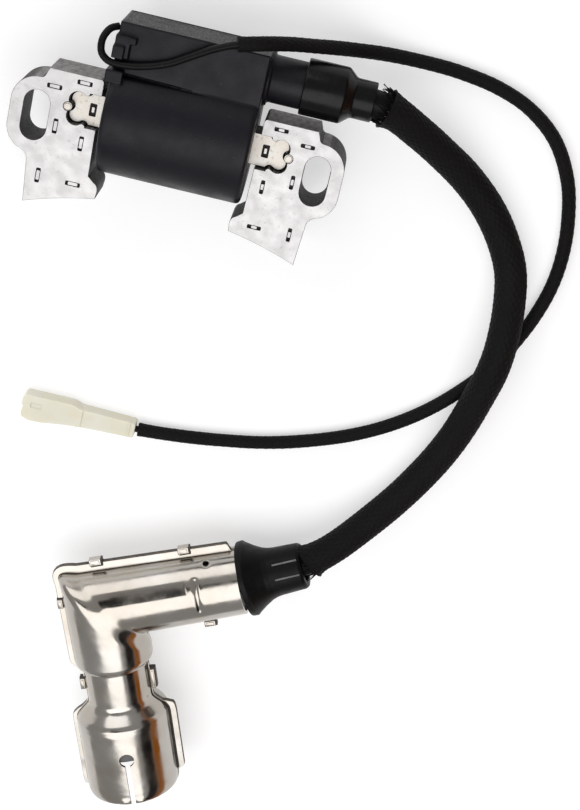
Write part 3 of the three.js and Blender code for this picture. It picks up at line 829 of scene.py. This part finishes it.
def stake_cutter(name, places, z, size, island=FACE):
    """Oval pockets that leave an island just under the surface in the middle of each."""
    verts, faces, kinds = [], [], []
    pocket = (size["length"] / 2, size["width"] / 2)
    inner = (pocket[0] - size["end"], pocket[1] - size["gap"])
    rings = [(*pocket, 0.2, 0.3), (*pocket, -STAKE_DEPTH, 0.3)]
    rings += [(*inner, -STAKE_DEPTH, 0.15), (*inner, -ISLAND_DEPTH, 0.15)]
    corner_steps = 4
    for x, y, upright in places:
        base = len(verts)
        for half, wide, down, radius in rings:
            for quarter in range(4):
                for i in range(corner_steps + 1):
                    a = (quarter + i / corner_steps) * math.pi / 2
                    sx = 1 if quarter in (0, 3) else -1
                    sy = 1 if quarter in (0, 1) else -1
                    along = sx * (half - radius) + radius * math.cos(a)
                    side = sy * (wide - radius) + radius * math.sin(a)
                    place = (side, along) if upright else (along, -side)
                    verts.append((x + place[0], y + place[1], z + down))
        count = 4 * (corner_steps + 1)
        faces.append(tuple(base + i for i in range(count)))
        faces += [tuple(base + i for i in face) for face in grid_faces(len(rings), count, True)]
        faces.append(tuple(base + (len(rings) - 1) * count + i for i in range(count)))
        # The pockets' walls take the near-black steel: painted shade in the pockets.
        kinds += [0] * ((len(rings) - 1) * count + 1) + [1]
    return face_out(give(new_object(name, verts, faces), (SHADE_STEEL, island), kinds))


def shade_edges_along_bar(made):
    """Painted shade: the cut edges that face along the bar get the near-black steel, darker than the other
    sheared edges.
    """
    for face in made.data.polygons:
        if face.material_index == 1 and abs(face.normal.x) > 0.3:
            face.material_index = 2


def core_leg(side):
    name = "core_leg_right" if side > 0 else "core_leg_left"
    made = laminated(name + "_stack", cad_outline(name), STACK_BACK_Z, STACK_FRONT_Z)
    places = [(side * x, y, upright) for x, y, upright in LEG_STAKES]
    shade_edges_along_bar(made)
    size = WIDE_STAKE if side < 0 else NARROW_STAKE
    boolean(made, "DIFFERENCE", stake_cutter(name + "_stakes", places, STACK_FRONT_Z, size))
    return piece(shade(made, 20), [], "core_steel", name)


def core_bar():
    low, high = (corner.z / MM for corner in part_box("core_bar"))
    made = laminated("core_bar_stack", cad_outline("core_bar"), low, high, 0.15)
    made.data.materials[0] = BAR
    # The bar's cut sides take the near-black steel: painted shade along them.
    made.data.materials[1] = SHADE_STEEL
    places = [(x, 0, True) for x in (-21.9, 21.9)]
    boolean(made, "DIFFERENCE", stake_cutter("core_bar_stakes", places, high, BAR_STAKE, BAR))
    return piece(shade(made, 20), [], "bar_steel", "core_bar")


def core_pin(name):
    low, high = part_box(name)
    middle = (low + high) / 2
    radius = (high.x - low.x) / 2 / MM
    length = (high.z - low.z) / MM
    collar = radius + 0.2
    head = radius - 0.06
    profile = [(0, 0), (0, radius), (length - 0.3, radius), (length - 0.15, collar), (length - 0.04, collar)]
    profile += [(length - 0.1, head), (length + 0.12, head), (length + 0.13, 0)]
    profile = filleted(profile, 0.06)
    to_axis = Matrix.Translation((middle.x, middle.y, low.z)) @ Matrix.Scale(MM, 4) @ Matrix.Rotation(
        -math.pi / 2, 4, "Y"
    )
    made = lathe(name + "_rod", profile, sides=40, matrix=to_axis)
    return piece(shade(made), [BAR], "bar_steel", name)


core_leg(1)
core_leg(-1)
core_bar()
core_pin("core_pin_left")
core_pin("core_pin_right")


# -------------------- case

def crease_wedge():
    """Cuts the valley between the box and the barrel deeper towards the left."""
    left, right, y, z = -CASE_HALF - 1, 6.0, 11.6, BOX_FRONT_Z
    verts = [(left, y - 0.8, z + 0.8), (left, y + 0.8, z + 0.8), (left, y, z - 2.6),
             (right, y - 0.2, z + 0.3), (right, y + 0.2, z + 0.3), (right, y, z - 0.3)]
    faces = [(0, 2, 1), (3, 4, 5), (0, 1, 4, 3), (1, 2, 5, 4), (2, 0, 3, 5)]
    return weld(new_object("case_crease", verts, faces))


def coil_case():
    barrel = filleted([(-CASE_HALF, 0), (-CASE_HALF, CASE_R), (CASE_HALF, CASE_R), (CASE_HALF, 0)], 1.4)
    body = lathe("coil_case_moulding", barrel, (0, 0, AXIS_Z), 160)
    stub = filleted([(CASE_HALF - 2, 0), (CASE_HALF - 2, TOWER_R), (35.9, TOWER_R), (35.9, 0)], 0.3)
    rib = [(CASE_HALF - 1, 0), (CASE_HALF - 1, 6.9), (CASE_HALF + 0.9, 6.9), (CASE_HALF + 0.9, 0)]
    added = [
        box("case_box", (-CASE_HALF, 4, BOX_BACK_Z), (CASE_HALF, BOX_TOP_Y, BOX_FRONT_Z)),
        lathe("case_tower", stub, (0, TOWER_Y, TOWER_Z), 96),
        lathe("case_tower_root", filleted(rib, 0.3), (0, TOWER_Y, TOWER_Z), 96),
        box("hook_upper", (-CASE_HALF - 0.4, 15.8, BOX_FRONT_Z - 3), (-15.0, 21.3, BOX_FRONT_Z + 1.5)),
        box("hook_prong", (-15.4, 19.6, BOX_FRONT_Z - 3), (-13.7, 21.2, BOX_FRONT_Z + 1.6)),
        box("hook_step", (-CASE_HALF - 0.6, 15.7, BOX_FRONT_Z - 3), (-16.2, 18.8, BOX_FRONT_Z + 2.3)),
        box("hook_lower", (-CASE_HALF - 1.2, 9.6, BOX_FRONT_Z - 5), (-15.4, 12.8, BOX_FRONT_Z + 2.6)),
        box("hook_lower_tip", (-CASE_HALF + 1.0, 8.4, BOX_FRONT_Z - 5), (-16.0, 10.0, BOX_FRONT_Z + 2.3)),
    ]
    boolean(body, "UNION", *added)
    bore = 5.6  # half of the bar's square hole
    cut = [
        box("case_bore", (-CASE_HALF - 1, -bore, AXIS_Z - bore), (CASE_HALF + 1, bore, AXIS_Z + bore)),
        box("case_recess", (-CASE_HALF + BOX_WALL, BOX_TOP_Y - 0.7, BOX_BACK_Z + BOX_WALL),
            (CASE_HALF - BOX_WALL, BOX_TOP_Y + 1, BOX_FRONT_Z - BOX_WALL)),
        box("case_rest", (-CASE_HALF - 1, -12, -2), (CASE_HALF + 1, 12, 0.06)),
        crease_wedge(),
    ]
    boolean(body, "DIFFERENCE", *cut)
    soften(body, 0.22, 4)
    return piece(shade(body, 60), [CASE], "case_black", "coil_case")


def potting():
    """The resin's granular face, which fills the box to just below its rim."""
    columns, rows = 150, 64
    inside = BOX_WALL - 0.05
    xs = np.linspace(-CASE_HALF + inside, CASE_HALF - inside, columns)
    zs = np.linspace(BOX_BACK_Z + inside, BOX_FRONT_Z - inside, rows)
    verts = []
    for z in zs:
        for x in xs:
            grain = noise(Vector((x * 1.9, z * 1.9, 3))) + 0.5 * noise(Vector((x * 4.1, z * 4.1, 8)))
            edge = min(x - xs[0], xs[-1] - x, z - zs[0], zs[-1] - z)
            verts.append((x, BOX_TOP_Y - 0.22 + 0.05 * grain + 0.1 * math.exp(-edge / 0.5), z))
    faces = [face[::-1] for face in grid_faces(rows, columns, False)]
    made = thicken(new_object("potting_face", verts, faces), 1.0)
    return piece(shade(made, 50), [RESIN], "potting_epoxy", "potting")


def ht_boot():
    outline = [
        (27.5, TOWER_R + 0.25), (27.5, 7.05), (37.7, 7.05), (40.1, 5.0), (45.3, 5.0), (45.3, 4.2),
        (42.0, HT_LEAD_R + 0.1), (38.0, HT_LEAD_R + 0.1), (38.0, TOWER_R + 0.1), (27.5, TOWER_R + 0.25),
    ]
    made = lathe("ht_boot_moulding", filleted(outline, 0.6), (0, TOWER_Y, TOWER_Z), 128)
    return piece(shade(made, 40), [BOOT], "rubber_black", "ht_boot")


coil_case()
potting()
boot = ht_boot()


# -------------------- connector

CONNECTOR_Y = -88.7


def connector():
    upper = [(-28.4, 0.6), (-28.4, 2.4), (-27.7, 3.65), (-14.5, 3.7), (-12.2, 2.85), (3.2, 2.4), (3.2, 0)]
    lower = [
        (3.2, 0), (3.2, -1.95), (-5.9, -2.2), (-13.8, -2.55), (-18.5, -3.1), (-22.5, -3.75), (-26.2, -3.85),
        (-28.3, -2.9), (-28.3, -1.4), (-27.9, 0.1), (-28.4, 0.6),
    ]
    ring = filleted(upper, 0.8) + filleted(lower, 0.8)[1:-1]
    high = 4.7
    verts = [(x, CONNECTOR_Y + y, z) for z in (0.02, high) for x, y in ring]
    count = len(ring)
    faces = [tuple(range(count))[::-1], tuple(range(count, 2 * count))]
    faces += [(i, (i + 1) % count, count + (i + 1) % count, count + i) for i in range(count)]
    body = weld(new_object("connector_moulding", verts, faces))
    cut = [
        box("connector_mouth", (-30, CONNECTOR_Y - 2.6, 0.9), (-13, CONNECTOR_Y + 2.6, 3.9)),
        box("connector_way", (-14, CONNECTOR_Y - 1.3, 1.0), (5, CONNECTOR_Y + 1.5, 3.5)),
        box("connector_dimple", (-26.0, CONNECTOR_Y + 0.1, high - 0.3), (-22.8, CONNECTOR_Y + 1.5, 6)),
        box("connector_waist", (-11.6, CONNECTOR_Y - 5, high - 0.22), (5, CONNECTOR_Y + 5, high + 1)),
    ]
    cut += [box("connector_grip", (x, CONNECTOR_Y - 5, high - 0.42), (x + 0.3, CONNECTOR_Y + 5, high + 1))
            for x in (1.1, 1.8)]
    boolean(body, "DIFFERENCE", *cut)
    soften(body, 0.13, 4)
    return piece(shade(body, 60), [NYLON], "nylon_natural", "connector_housing")


housing = connector()


# -------------------- cap

ARM_RISE = math.radians(4.65)
ARM_WAY = np.array((math.cos(ARM_RISE), math.sin(ARM_RISE)))
MITRE = np.array((-11.5, 10.6)) / math.hypot(11.5, 10.6)
MITRE_AWAY = np.array((MITRE[1], -MITRE[0]))
MOUTH_Y = -58.3
ARM_LENGTH = 38.8
ARM_END_R = 9.5
ARM_TAPER = 1.3 / 58.8
SHEET = 0.8
KEYHOLE = {"x": 1.1, "y": -43.6, "r": 2.1, "slot": 0.72}
PIERCED = {"t": 30.7, "turn": 1.12, "r": 0.9}
PLUG_PROFILE = [  # (distance along the plug's axis, radius)
    (MOUTH_Y, 12.35), (MOUTH_Y + 0.35, 12.85), (MOUTH_Y + 1.2, 13.1), (MOUTH_Y + 3, 13.25), (-36, 13.25),
    (-34.4, 13.1), (-33.2, 12.3), (-31.0, 9.9), (-30.2, 9.3), (-29.2, 9.1), (-18.9, 9.1), (-18.3, 9.35),
    (-17.7, 10.4), (-17.1, 10.95), (-16.3, 11.1), (-14, 11.15), (25, 11.85),
]


def plug_radius(y):
    ys, rs = zip(*PLUG_PROFILE)
    return np.interp(y, ys, rs)


def arm_radius(t):
    return ARM_END_R + (ARM_LENGTH - t) * ARM_TAPER


def smooth_step(x):
    x = np.clip(x, 0, 1)
    return x * x * (3 - 2 * x)


def pressing(t, turn):
    """Depth of the features pressed into the arm's front; turn is 0 at the front, positive upwards."""
    across = np.clip(1 - ((turn - 0.46) / 0.2) ** 2, 0, 1)
    flat = smooth_step((t + 3) / 8) * smooth_step((24.8 - t) / 0.8) * across
    front = smooth_step((turn + 0.45) / 0.2) * smooth_step((0.75 - turn) / 0.15)
    fold = np.exp(-((t - 27.1) / 0.7) ** 2) * front
    dimple = np.exp(-((t - PIERCED["t"]) / 0.9) ** 2 - ((turn - PIERCED["turn"]) / 0.1) ** 2)
    return -0.13 * flat - 0.4 * fold - 0.3 * dimple


def rim_curl(x, y):
    """The two corners of the slot turned out a little at the mouth's rim."""
    beside = np.exp(-((np.abs(x - KEYHOLE["x"]) - 2.4) / 1.6) ** 2)
    return 0.4 * beside * np.exp(-((y - MOUTH_Y - 0.9) / 0.65) ** 2)


def cap_field(points):
    """Below 0 inside the cap's outer form: two tubes that meet at the mitre, blended over its edge."""
    x, y, z = points[..., 0], points[..., 1], points[..., 2]
    side = x * MITRE_AWAY[0] + y * MITRE_AWAY[1]
    plug = np.hypot(x, z) - plug_radius(y) - np.where(z > 0, rim_curl(x, y), 0)
    t = x * ARM_WAY[0] + y * ARM_WAY[1]
    n = -x * ARM_WAY[1] + y * ARM_WAY[0]
    arm = np.hypot(n, z) - arm_radius(t) - np.where(z > 0, pressing(t, np.arctan2(n, z)), 0)
    share = smooth_step(side / 6.5 + 0.5)
    return plug * (1 - share) + arm * share


SPINE_BEND = 16.0


def cap_spine():
    """Stations along the cap from its mouth to its arm's end: a point and the direction to its left."""
    ys = [MOUTH_Y, MOUTH_Y + 0.12, MOUTH_Y + 0.35, MOUTH_Y + 0.7, MOUTH_Y + 1.2, MOUTH_Y + 2]
    ys += list(np.linspace(MOUTH_Y + 3, -36.5, 24))
    ys += list(np.linspace(-36, -28.6, 26))
    ys += list(np.linspace(-28, -19.2, 12))
    ys += list(np.linspace(-19, -SPINE_BEND, 20))
    stations = [((0, y, 0), (-1.0, 0.0)) for y in ys]
    bend = 110
    for i in range(1, bend):
        turn = (math.pi / 2 - ARM_RISE) * i / bend
        centre = np.array((0, -SPINE_BEND)) * (1 - i / bend) ** 2 + ARM_WAY * SPINE_BEND * (i / bend) ** 2
        stations.append(((*centre, 0), (-math.cos(turn), math.sin(turn))))
    for t in np.linspace(SPINE_BEND, ARM_LENGTH, 130):
        stations.append(((*(ARM_WAY * t), 0), (-ARM_WAY[1], ARM_WAY[0])))
    return stations


def shell_grid(side, columns=120):
    """One half of the outer form, found by casting from the spine to its front or its back."""
    starts, lefts = (np.array(part, dtype=float) for part in zip(*cap_spine()))
    turn = np.linspace(0, math.pi, columns + 1)
    ways = np.empty((len(starts), columns + 1, 3))
    ways[..., :2] = lefts[:, None, :] * np.cos(turn)[None, :, None]
    ways[..., 2] = side * np.sin(turn)
    low = np.full(ways.shape[:2], 4.0)
    high = np.full(ways.shape[:2], 30.0)
    for _ in range(26):
        middle = (low + high) / 2
        inside = cap_field(starts[:, None, :] + ways * middle[..., None]) < 0
        low = np.where(inside, middle, low)
        high = np.where(inside, high, middle)
    return starts[:, None, :] + ways * low[..., None]


CAP_GRID = {1: shell_grid(1), -1: shell_grid(-1)}


def cap_shell(side):
    """The sheet-metal half at the front (side 1) or at the back (side -1)."""
    grid = CAP_GRID[side]
    rows, columns = grid.shape[:2]
    node_name = "cap_shell_front" if side > 0 else "cap_shell_back"
    name = node_name + "_pressing"
    faces = [face[::side] for face in grid_faces(rows, columns, False)]
    made = thicken(new_object(name, grid.reshape(-1, 3), faces, CAP_TO_ROW), SHEET)
    give(made, (PLATE, PLATE_EDGE, CREASE_SHADE))
    axis = (CAP_TO_ROW.to_3x3() @ Vector((0, 1, 0))).normalized()
    mouth = CAP_TO_ROW @ Vector((0, MOUTH_Y + 0.3, 0))
    for face in made.data.polygons:
        if face.normal.dot(axis) < -0.6 and (face.center - mouth).dot(axis) < 0:
            face.material_index = 1
    if side > 0:
        boolean(made, "DIFFERENCE", *cap_cutters())
    return piece(shade(made, 35), [], "plated_steel", node_name)


def cap_cutters():
    """The keyhole, its slot to the rim, and the small hole pierced in the arm."""
    upright = Matrix.Rotation(-math.pi / 2, 4, "Y")
    arm = Matrix.Rotation(ARM_RISE, 4, "Z")
    outward = Matrix.Rotation(-PIERCED["turn"], 4, "X")
    r, pierced = KEYHOLE["r"], PIERCED["r"]
    cutters = [
        lathe("keyhole", [(0, 0), (0, r), (20, r), (20, 0)], sides=48,
              matrix=CAP_TO_ROW @ Matrix.Translation((KEYHOLE["x"], KEYHOLE["y"], 4)) @ upright),
        box("keyslot", (KEYHOLE["x"] - KEYHOLE["slot"], -62, 4),
            (KEYHOLE["x"] + KEYHOLE["slot"], KEYHOLE["y"], 24), CAP_TO_ROW),
        lathe("pierced_hole", [(7, 0), (7, pierced), (15, pierced), (15, 0)], sides=24,
              matrix=CAP_TO_ROW @ arm @ outward @ Matrix.Translation((PIERCED["t"], 0, 0)) @ upright),
    ]
    # The cutters carry the dark crease material: painted shade on the holes' walls.
    return [give(cutter, (CREASE_SHADE,)) for cutter in cutters]


def flange_strip(name, edge, width, side, crease):
    """Flat lip along one side of a half shell, with a strip of painted shade of the given width at its root.
    """
    edge = np.array(edge)
    along = np.gradient(edge, axis=0)
    along /= np.linalg.norm(along, axis=1)[:, None]
    out = np.stack([-along[:, 1], along[:, 0], np.zeros(len(edge))], axis=1)
    section = [(-0.6, 0.06), (0.9, 0.06), (1.0, 0.2), (1.0, 0.62), (0.9, 0.78), (0.0, 0.78), (-0.6, 0.78)]
    verts = []
    for here, away, wide in zip(edge, out, width):
        root = min(crease, wide * 0.6)
        for share, z in section:
            reach = share if share < 0 else root + share * (wide - root)
            place = here + away * reach
            verts.append((place[0], place[1], side * z))
    count = len(section)
    faces = grid_faces(len(edge), count, True)
    # Faces 1 to 3 are the sheet's cut edge; face 5, at the root, is painted shade.
    kinds = [(0, 1, 1, 1, 0, 2, 0)[i % count] for i in range(len(faces))] + [1, 1]
    faces.append(tuple(range(count))[::-1])
    faces.append(tuple((len(edge) - 1) * count + i for i in range(count)))
    return weld(give(new_object(name, verts, faces, CAP_TO_ROW), (PLATE, PLATE_EDGE, CREASE_SHADE), kinds))


# Widths of the lips beside the plug's tube, as (distance along its axis, width), and beside the arm.
OUTER_FLANGE = [(-57.6, 0.05), (-57.0, 1.2), (-34.5, 1.2), (-32, 0.3), (-21.5, 0.3), (-19.5, 1.5), (5, 1.5)]
INNER_FLANGE = [
    (-55.2, 0.05), (-54.2, 2.1), (-34.2, 2.1), (-32.6, 0.35), (-19.4, 0.35), (-18.6, -0.4), (-8, -0.4),
]
TOP_FLANGE = 2.5
LOW_FLANGE = 0.9


def flange_width(line, sign):
    """How far the lip stands out at each point, from the cap's mouth to the arm's end."""
    x, y = line[:, 0], line[:, 1]
    t = x * ARM_WAY[0] + y * ARM_WAY[1]
    share = smooth_step((x * MITRE_AWAY[0] + y * MITRE_AWAY[1]) / 5 + 0.5)
    places, sizes = zip(*(OUTER_FLANGE if sign > 0 else INNER_FLANGE))
    on_plug = np.interp(y, places, sizes)
    on_arm = (TOP_FLANGE if sign > 0 else LOW_FLANGE) * smooth_step((ARM_LENGTH - 0.8 - t) / 1.2)
    return on_plug * (1 - share) + on_arm * share + 0.03


def cap_flanges():
    made = []
    for side, label in ((1, "front"), (-1, "back")):
        for column, hand, sign in ((0, "outer", 1), (-1, "inner", -1)):
            line = CAP_GRID[side][:, column, :].copy()
            line[:, 2] = 0
            step = np.concatenate([[1], np.linalg.norm(np.diff(line, axis=0), axis=1)])
            line = line[step > 0.02]
            width = flange_width(line, sign)
            if sign < 0:
                line, width = line[::-1], width[::-1]
            # Width of the painted shade at the lip's root.
            crease = 0.12 if sign > 0 else 0.5
            strip = flange_strip(f"cap_flange_{hand}_{label}", line, width, side, crease)
            made.append(piece(shade(strip, 40), [], "plated_steel"))
    return made


# Crimped tabs that hold the half shells together: (x, y, length, reach, turn of their length from X, side
# that gets the long strip of painted shade).
CAP_TABS = [
    (-0.9, 12.9, 3.4, 2.0, ARM_RISE, -1),
    (23.8, 14.0, 3.2, 2.0, ARM_RISE, -1),
    (-12.5, 1.1, 2.8, 1.6, math.pi / 2, -1),
    (-10.0, -24.6, 3.4, 1.5, math.pi / 2, -1),
    (28.4, -9.1, 3.2, 1.7, ARM_RISE, 1),
    (10.1, -24.8, 6.0, 1.4, math.pi / 2, -1),
]


def cap_tab(index, x, y, length, reach, turn, shade_side):
    place = CAP_TO_ROW @ Matrix.Translation((x, y, 0)) @ Matrix.Rotation(turn, 4, "Z")
    half, deep = length / 2, reach / 2
    made = bevelled_box(f"cap_tab_{index}", (-half, -deep, -1.15), (half, deep, 1.25), 0.25, place)
    give(made, (PLATE, CREASE_SHADE))
    # Dark strips at the tab's end and along one side: painted shade between the tab and the lip.
    inner, outer = sorted((shade_side * (deep - 0.15), shade_side * (deep + 0.3)))
    shade_strips = [
        box("tab_end_shade", (half - 0.15, -deep + 0.1, -1.0), (half + 0.4, deep - 0.1, 1.05), place),
        box("tab_side_shade", (-half + 0.3, inner, -0.95), (half + 0.35, outer, 1.0), place),
    ]
    boolean(made, "UNION", *(give(slot, (CREASE_SHADE,)) for slot in shade_strips))
    raised = bevelled_box(
        "tab_strip", (-half + 0.5, -deep + 0.35, 1.0), (half - 0.5, deep - 0.35, 1.42), 0.12, place
    )
    boolean(made, "UNION", give(raised, (PLATE,)))
    return piece(shade(made, 40), [], "plated_steel")


def cap_seal():
    outline = [
        (0, 3.7), (0, 10.5), (1.5, 10.6), (1.8, 10.2), (4.2, 8.6), (6.4, 7.4), (7.8, 6.95), (9.2, 6.75),
        (16.2, 6.45), (17.0, 6.0), (17.0, 4.6), (10, 3.7), (0, 3.7),
    ]
    made = lathe("cap_seal_moulding", filleted(outline, 0.2), sides=128, matrix=SEAL_TO_ROW)
    give(made, (SEAL, SEAL_RIB_HIGHLIGHT))
    ribs = []
    # The ribs take the pale rubber: painted highlight along their crests.
    for degrees in (-41, -5, 139, 175):
        turn = Matrix.Rotation(math.radians(degrees), 4, "X")
        rib = bevelled_box("cap_seal_rib", (9.3, -0.24, 6.2), (16.3, 0.24, 6.92), 0.18, SEAL_TO_ROW @ turn)
        ribs.append(give(rib, (SEAL_RIB_HIGHLIGHT,)))
    boolean(made, "UNION", *ribs)
    return piece(shade(made, 40), [], "rubber_black", "cap_seal")


def cap_collar():
    """Rubber collar inside the mouth, whose end shows through the keyhole."""
    outline = [
        (34.8, 8.0), (34.8, 11.9), (35.4, 12.3), (44.5, 12.3), (44.5, 11.5), (36.4, 11.2), (36.4, 8.0),
        (34.8, 8.0),
    ]
    along_plug = CAP_TO_ROW @ Matrix.Rotation(-math.pi / 2, 4, "Z")
    made = lathe("cap_collar", filleted(outline, 0.2), sides=96, matrix=along_plug)
    return piece(shade(made, 40), [COLLAR], "rubber_black")


shell_front = cap_shell(1)
shell_back = cap_shell(-1)
flanges = cap_flanges() + [cap_tab(index, *tab) for index, tab in enumerate(CAP_TABS)]
seal = cap_seal()
collar = cap_collar()


# -------------------- pieces kept from CAD

KEPT = {
    "primary_bobbin": BOBBIN,
    "primary_winding": COPPER,
    "secondary_bobbin": BOBBIN,
    "secondary_winding": COPPER,
    "igniter_board": BOARD,
    "igniter_transistor": MODULE,
    "igniter_resistor": CERAMIC,
    "ht_terminal": BRASS,
    "connector_terminal": BRASS,
    "cap_body": MODULE,
    "cap_plug_clip": SPRING,
    "cap_spring": SPRING,
    "cap_resistor": CERAMIC,
    "cap_contact": BRASS,
}
for name, material in KEPT.items():
    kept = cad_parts[name]
    kept.data.materials.clear()
    kept.data.materials.append(material)


# -------------------- floor and lights

def make_floor():
    made = box("floor", (-2500, -2500, -20), (2500, 2500, -0.02), Matrix.Scale(MM, 4))
    white = principled(
        "floor_white", (0.55, 0.55, 0.55), 0.7, Emission_Color=(1, 1, 1, 1), Emission_Strength=0.5
    )
    give(made, (white,))


def area_light(name, place, target, size, radiance):
    """A rectangular softbox of the given brightness, in metres."""
    data = bpy.data.lights.new(name, "AREA")
    data.shape = "RECTANGLE"
    data.size, data.size_y = size
    data.energy = radiance * math.pi * size[0] * size[1]
    made = bpy.data.objects.new(name, data)
    made.location = place
    made.rotation_mode = "QUATERNION"
    made.rotation_quaternion = (Vector(target) - Vector(place)).to_track_quat("-Z", "Y")
    bpy.context.scene.collection.objects.link(made)


def flag(name, low, high, colour):
    """A matt studio card that only shows in reflections, in metres."""
    made = box(name, [v / MM for v in low], [v / MM for v in high], Matrix.Scale(MM, 4))
    made.visible_camera = False
    give(made, (principled(name + "_card", colour, 0.9, Specular_IOR_Level=0.0),))


def make_lights():
    world = bpy.data.worlds.new("studio")
    world.use_nodes = True
    world.node_tree.nodes["Background"].inputs["Color"].default_value = (1, 1, 1, 1)
    world.node_tree.nodes["Background"].inputs["Strength"].default_value = 0.42
    bpy.context.scene.world = world
    area_light("overhead", (0.01, -0.32, 0.8), (0.01, -0.32, 0), (1.22, 0.80), 2.1)
    area_light("back_left", (-0.45, 0.65, 0.38), (0.0, -0.1, 0.0), (0.8, 0.6), 1.7)
    # The cards give the plated cap its dark and brown streaks.
    flag("dark_flag", (0.35, -0.6, 0.115), (0.36, 1.0, 0.3), (0.01, 0.01, 0.01))
    flag("high_flag", (-0.30, -0.045, 0.49), (-0.05, 0.095, 0.495), (0.01, 0.01, 0.01))
    flag("brown_flag", (0.35, -0.6, 0.001), (0.36, 1.0, 0.1), (0.42, 0.13, 0.004))


make_floor()
make_lights()
bpy.context.scene.view_settings.view_transform = "Standard"
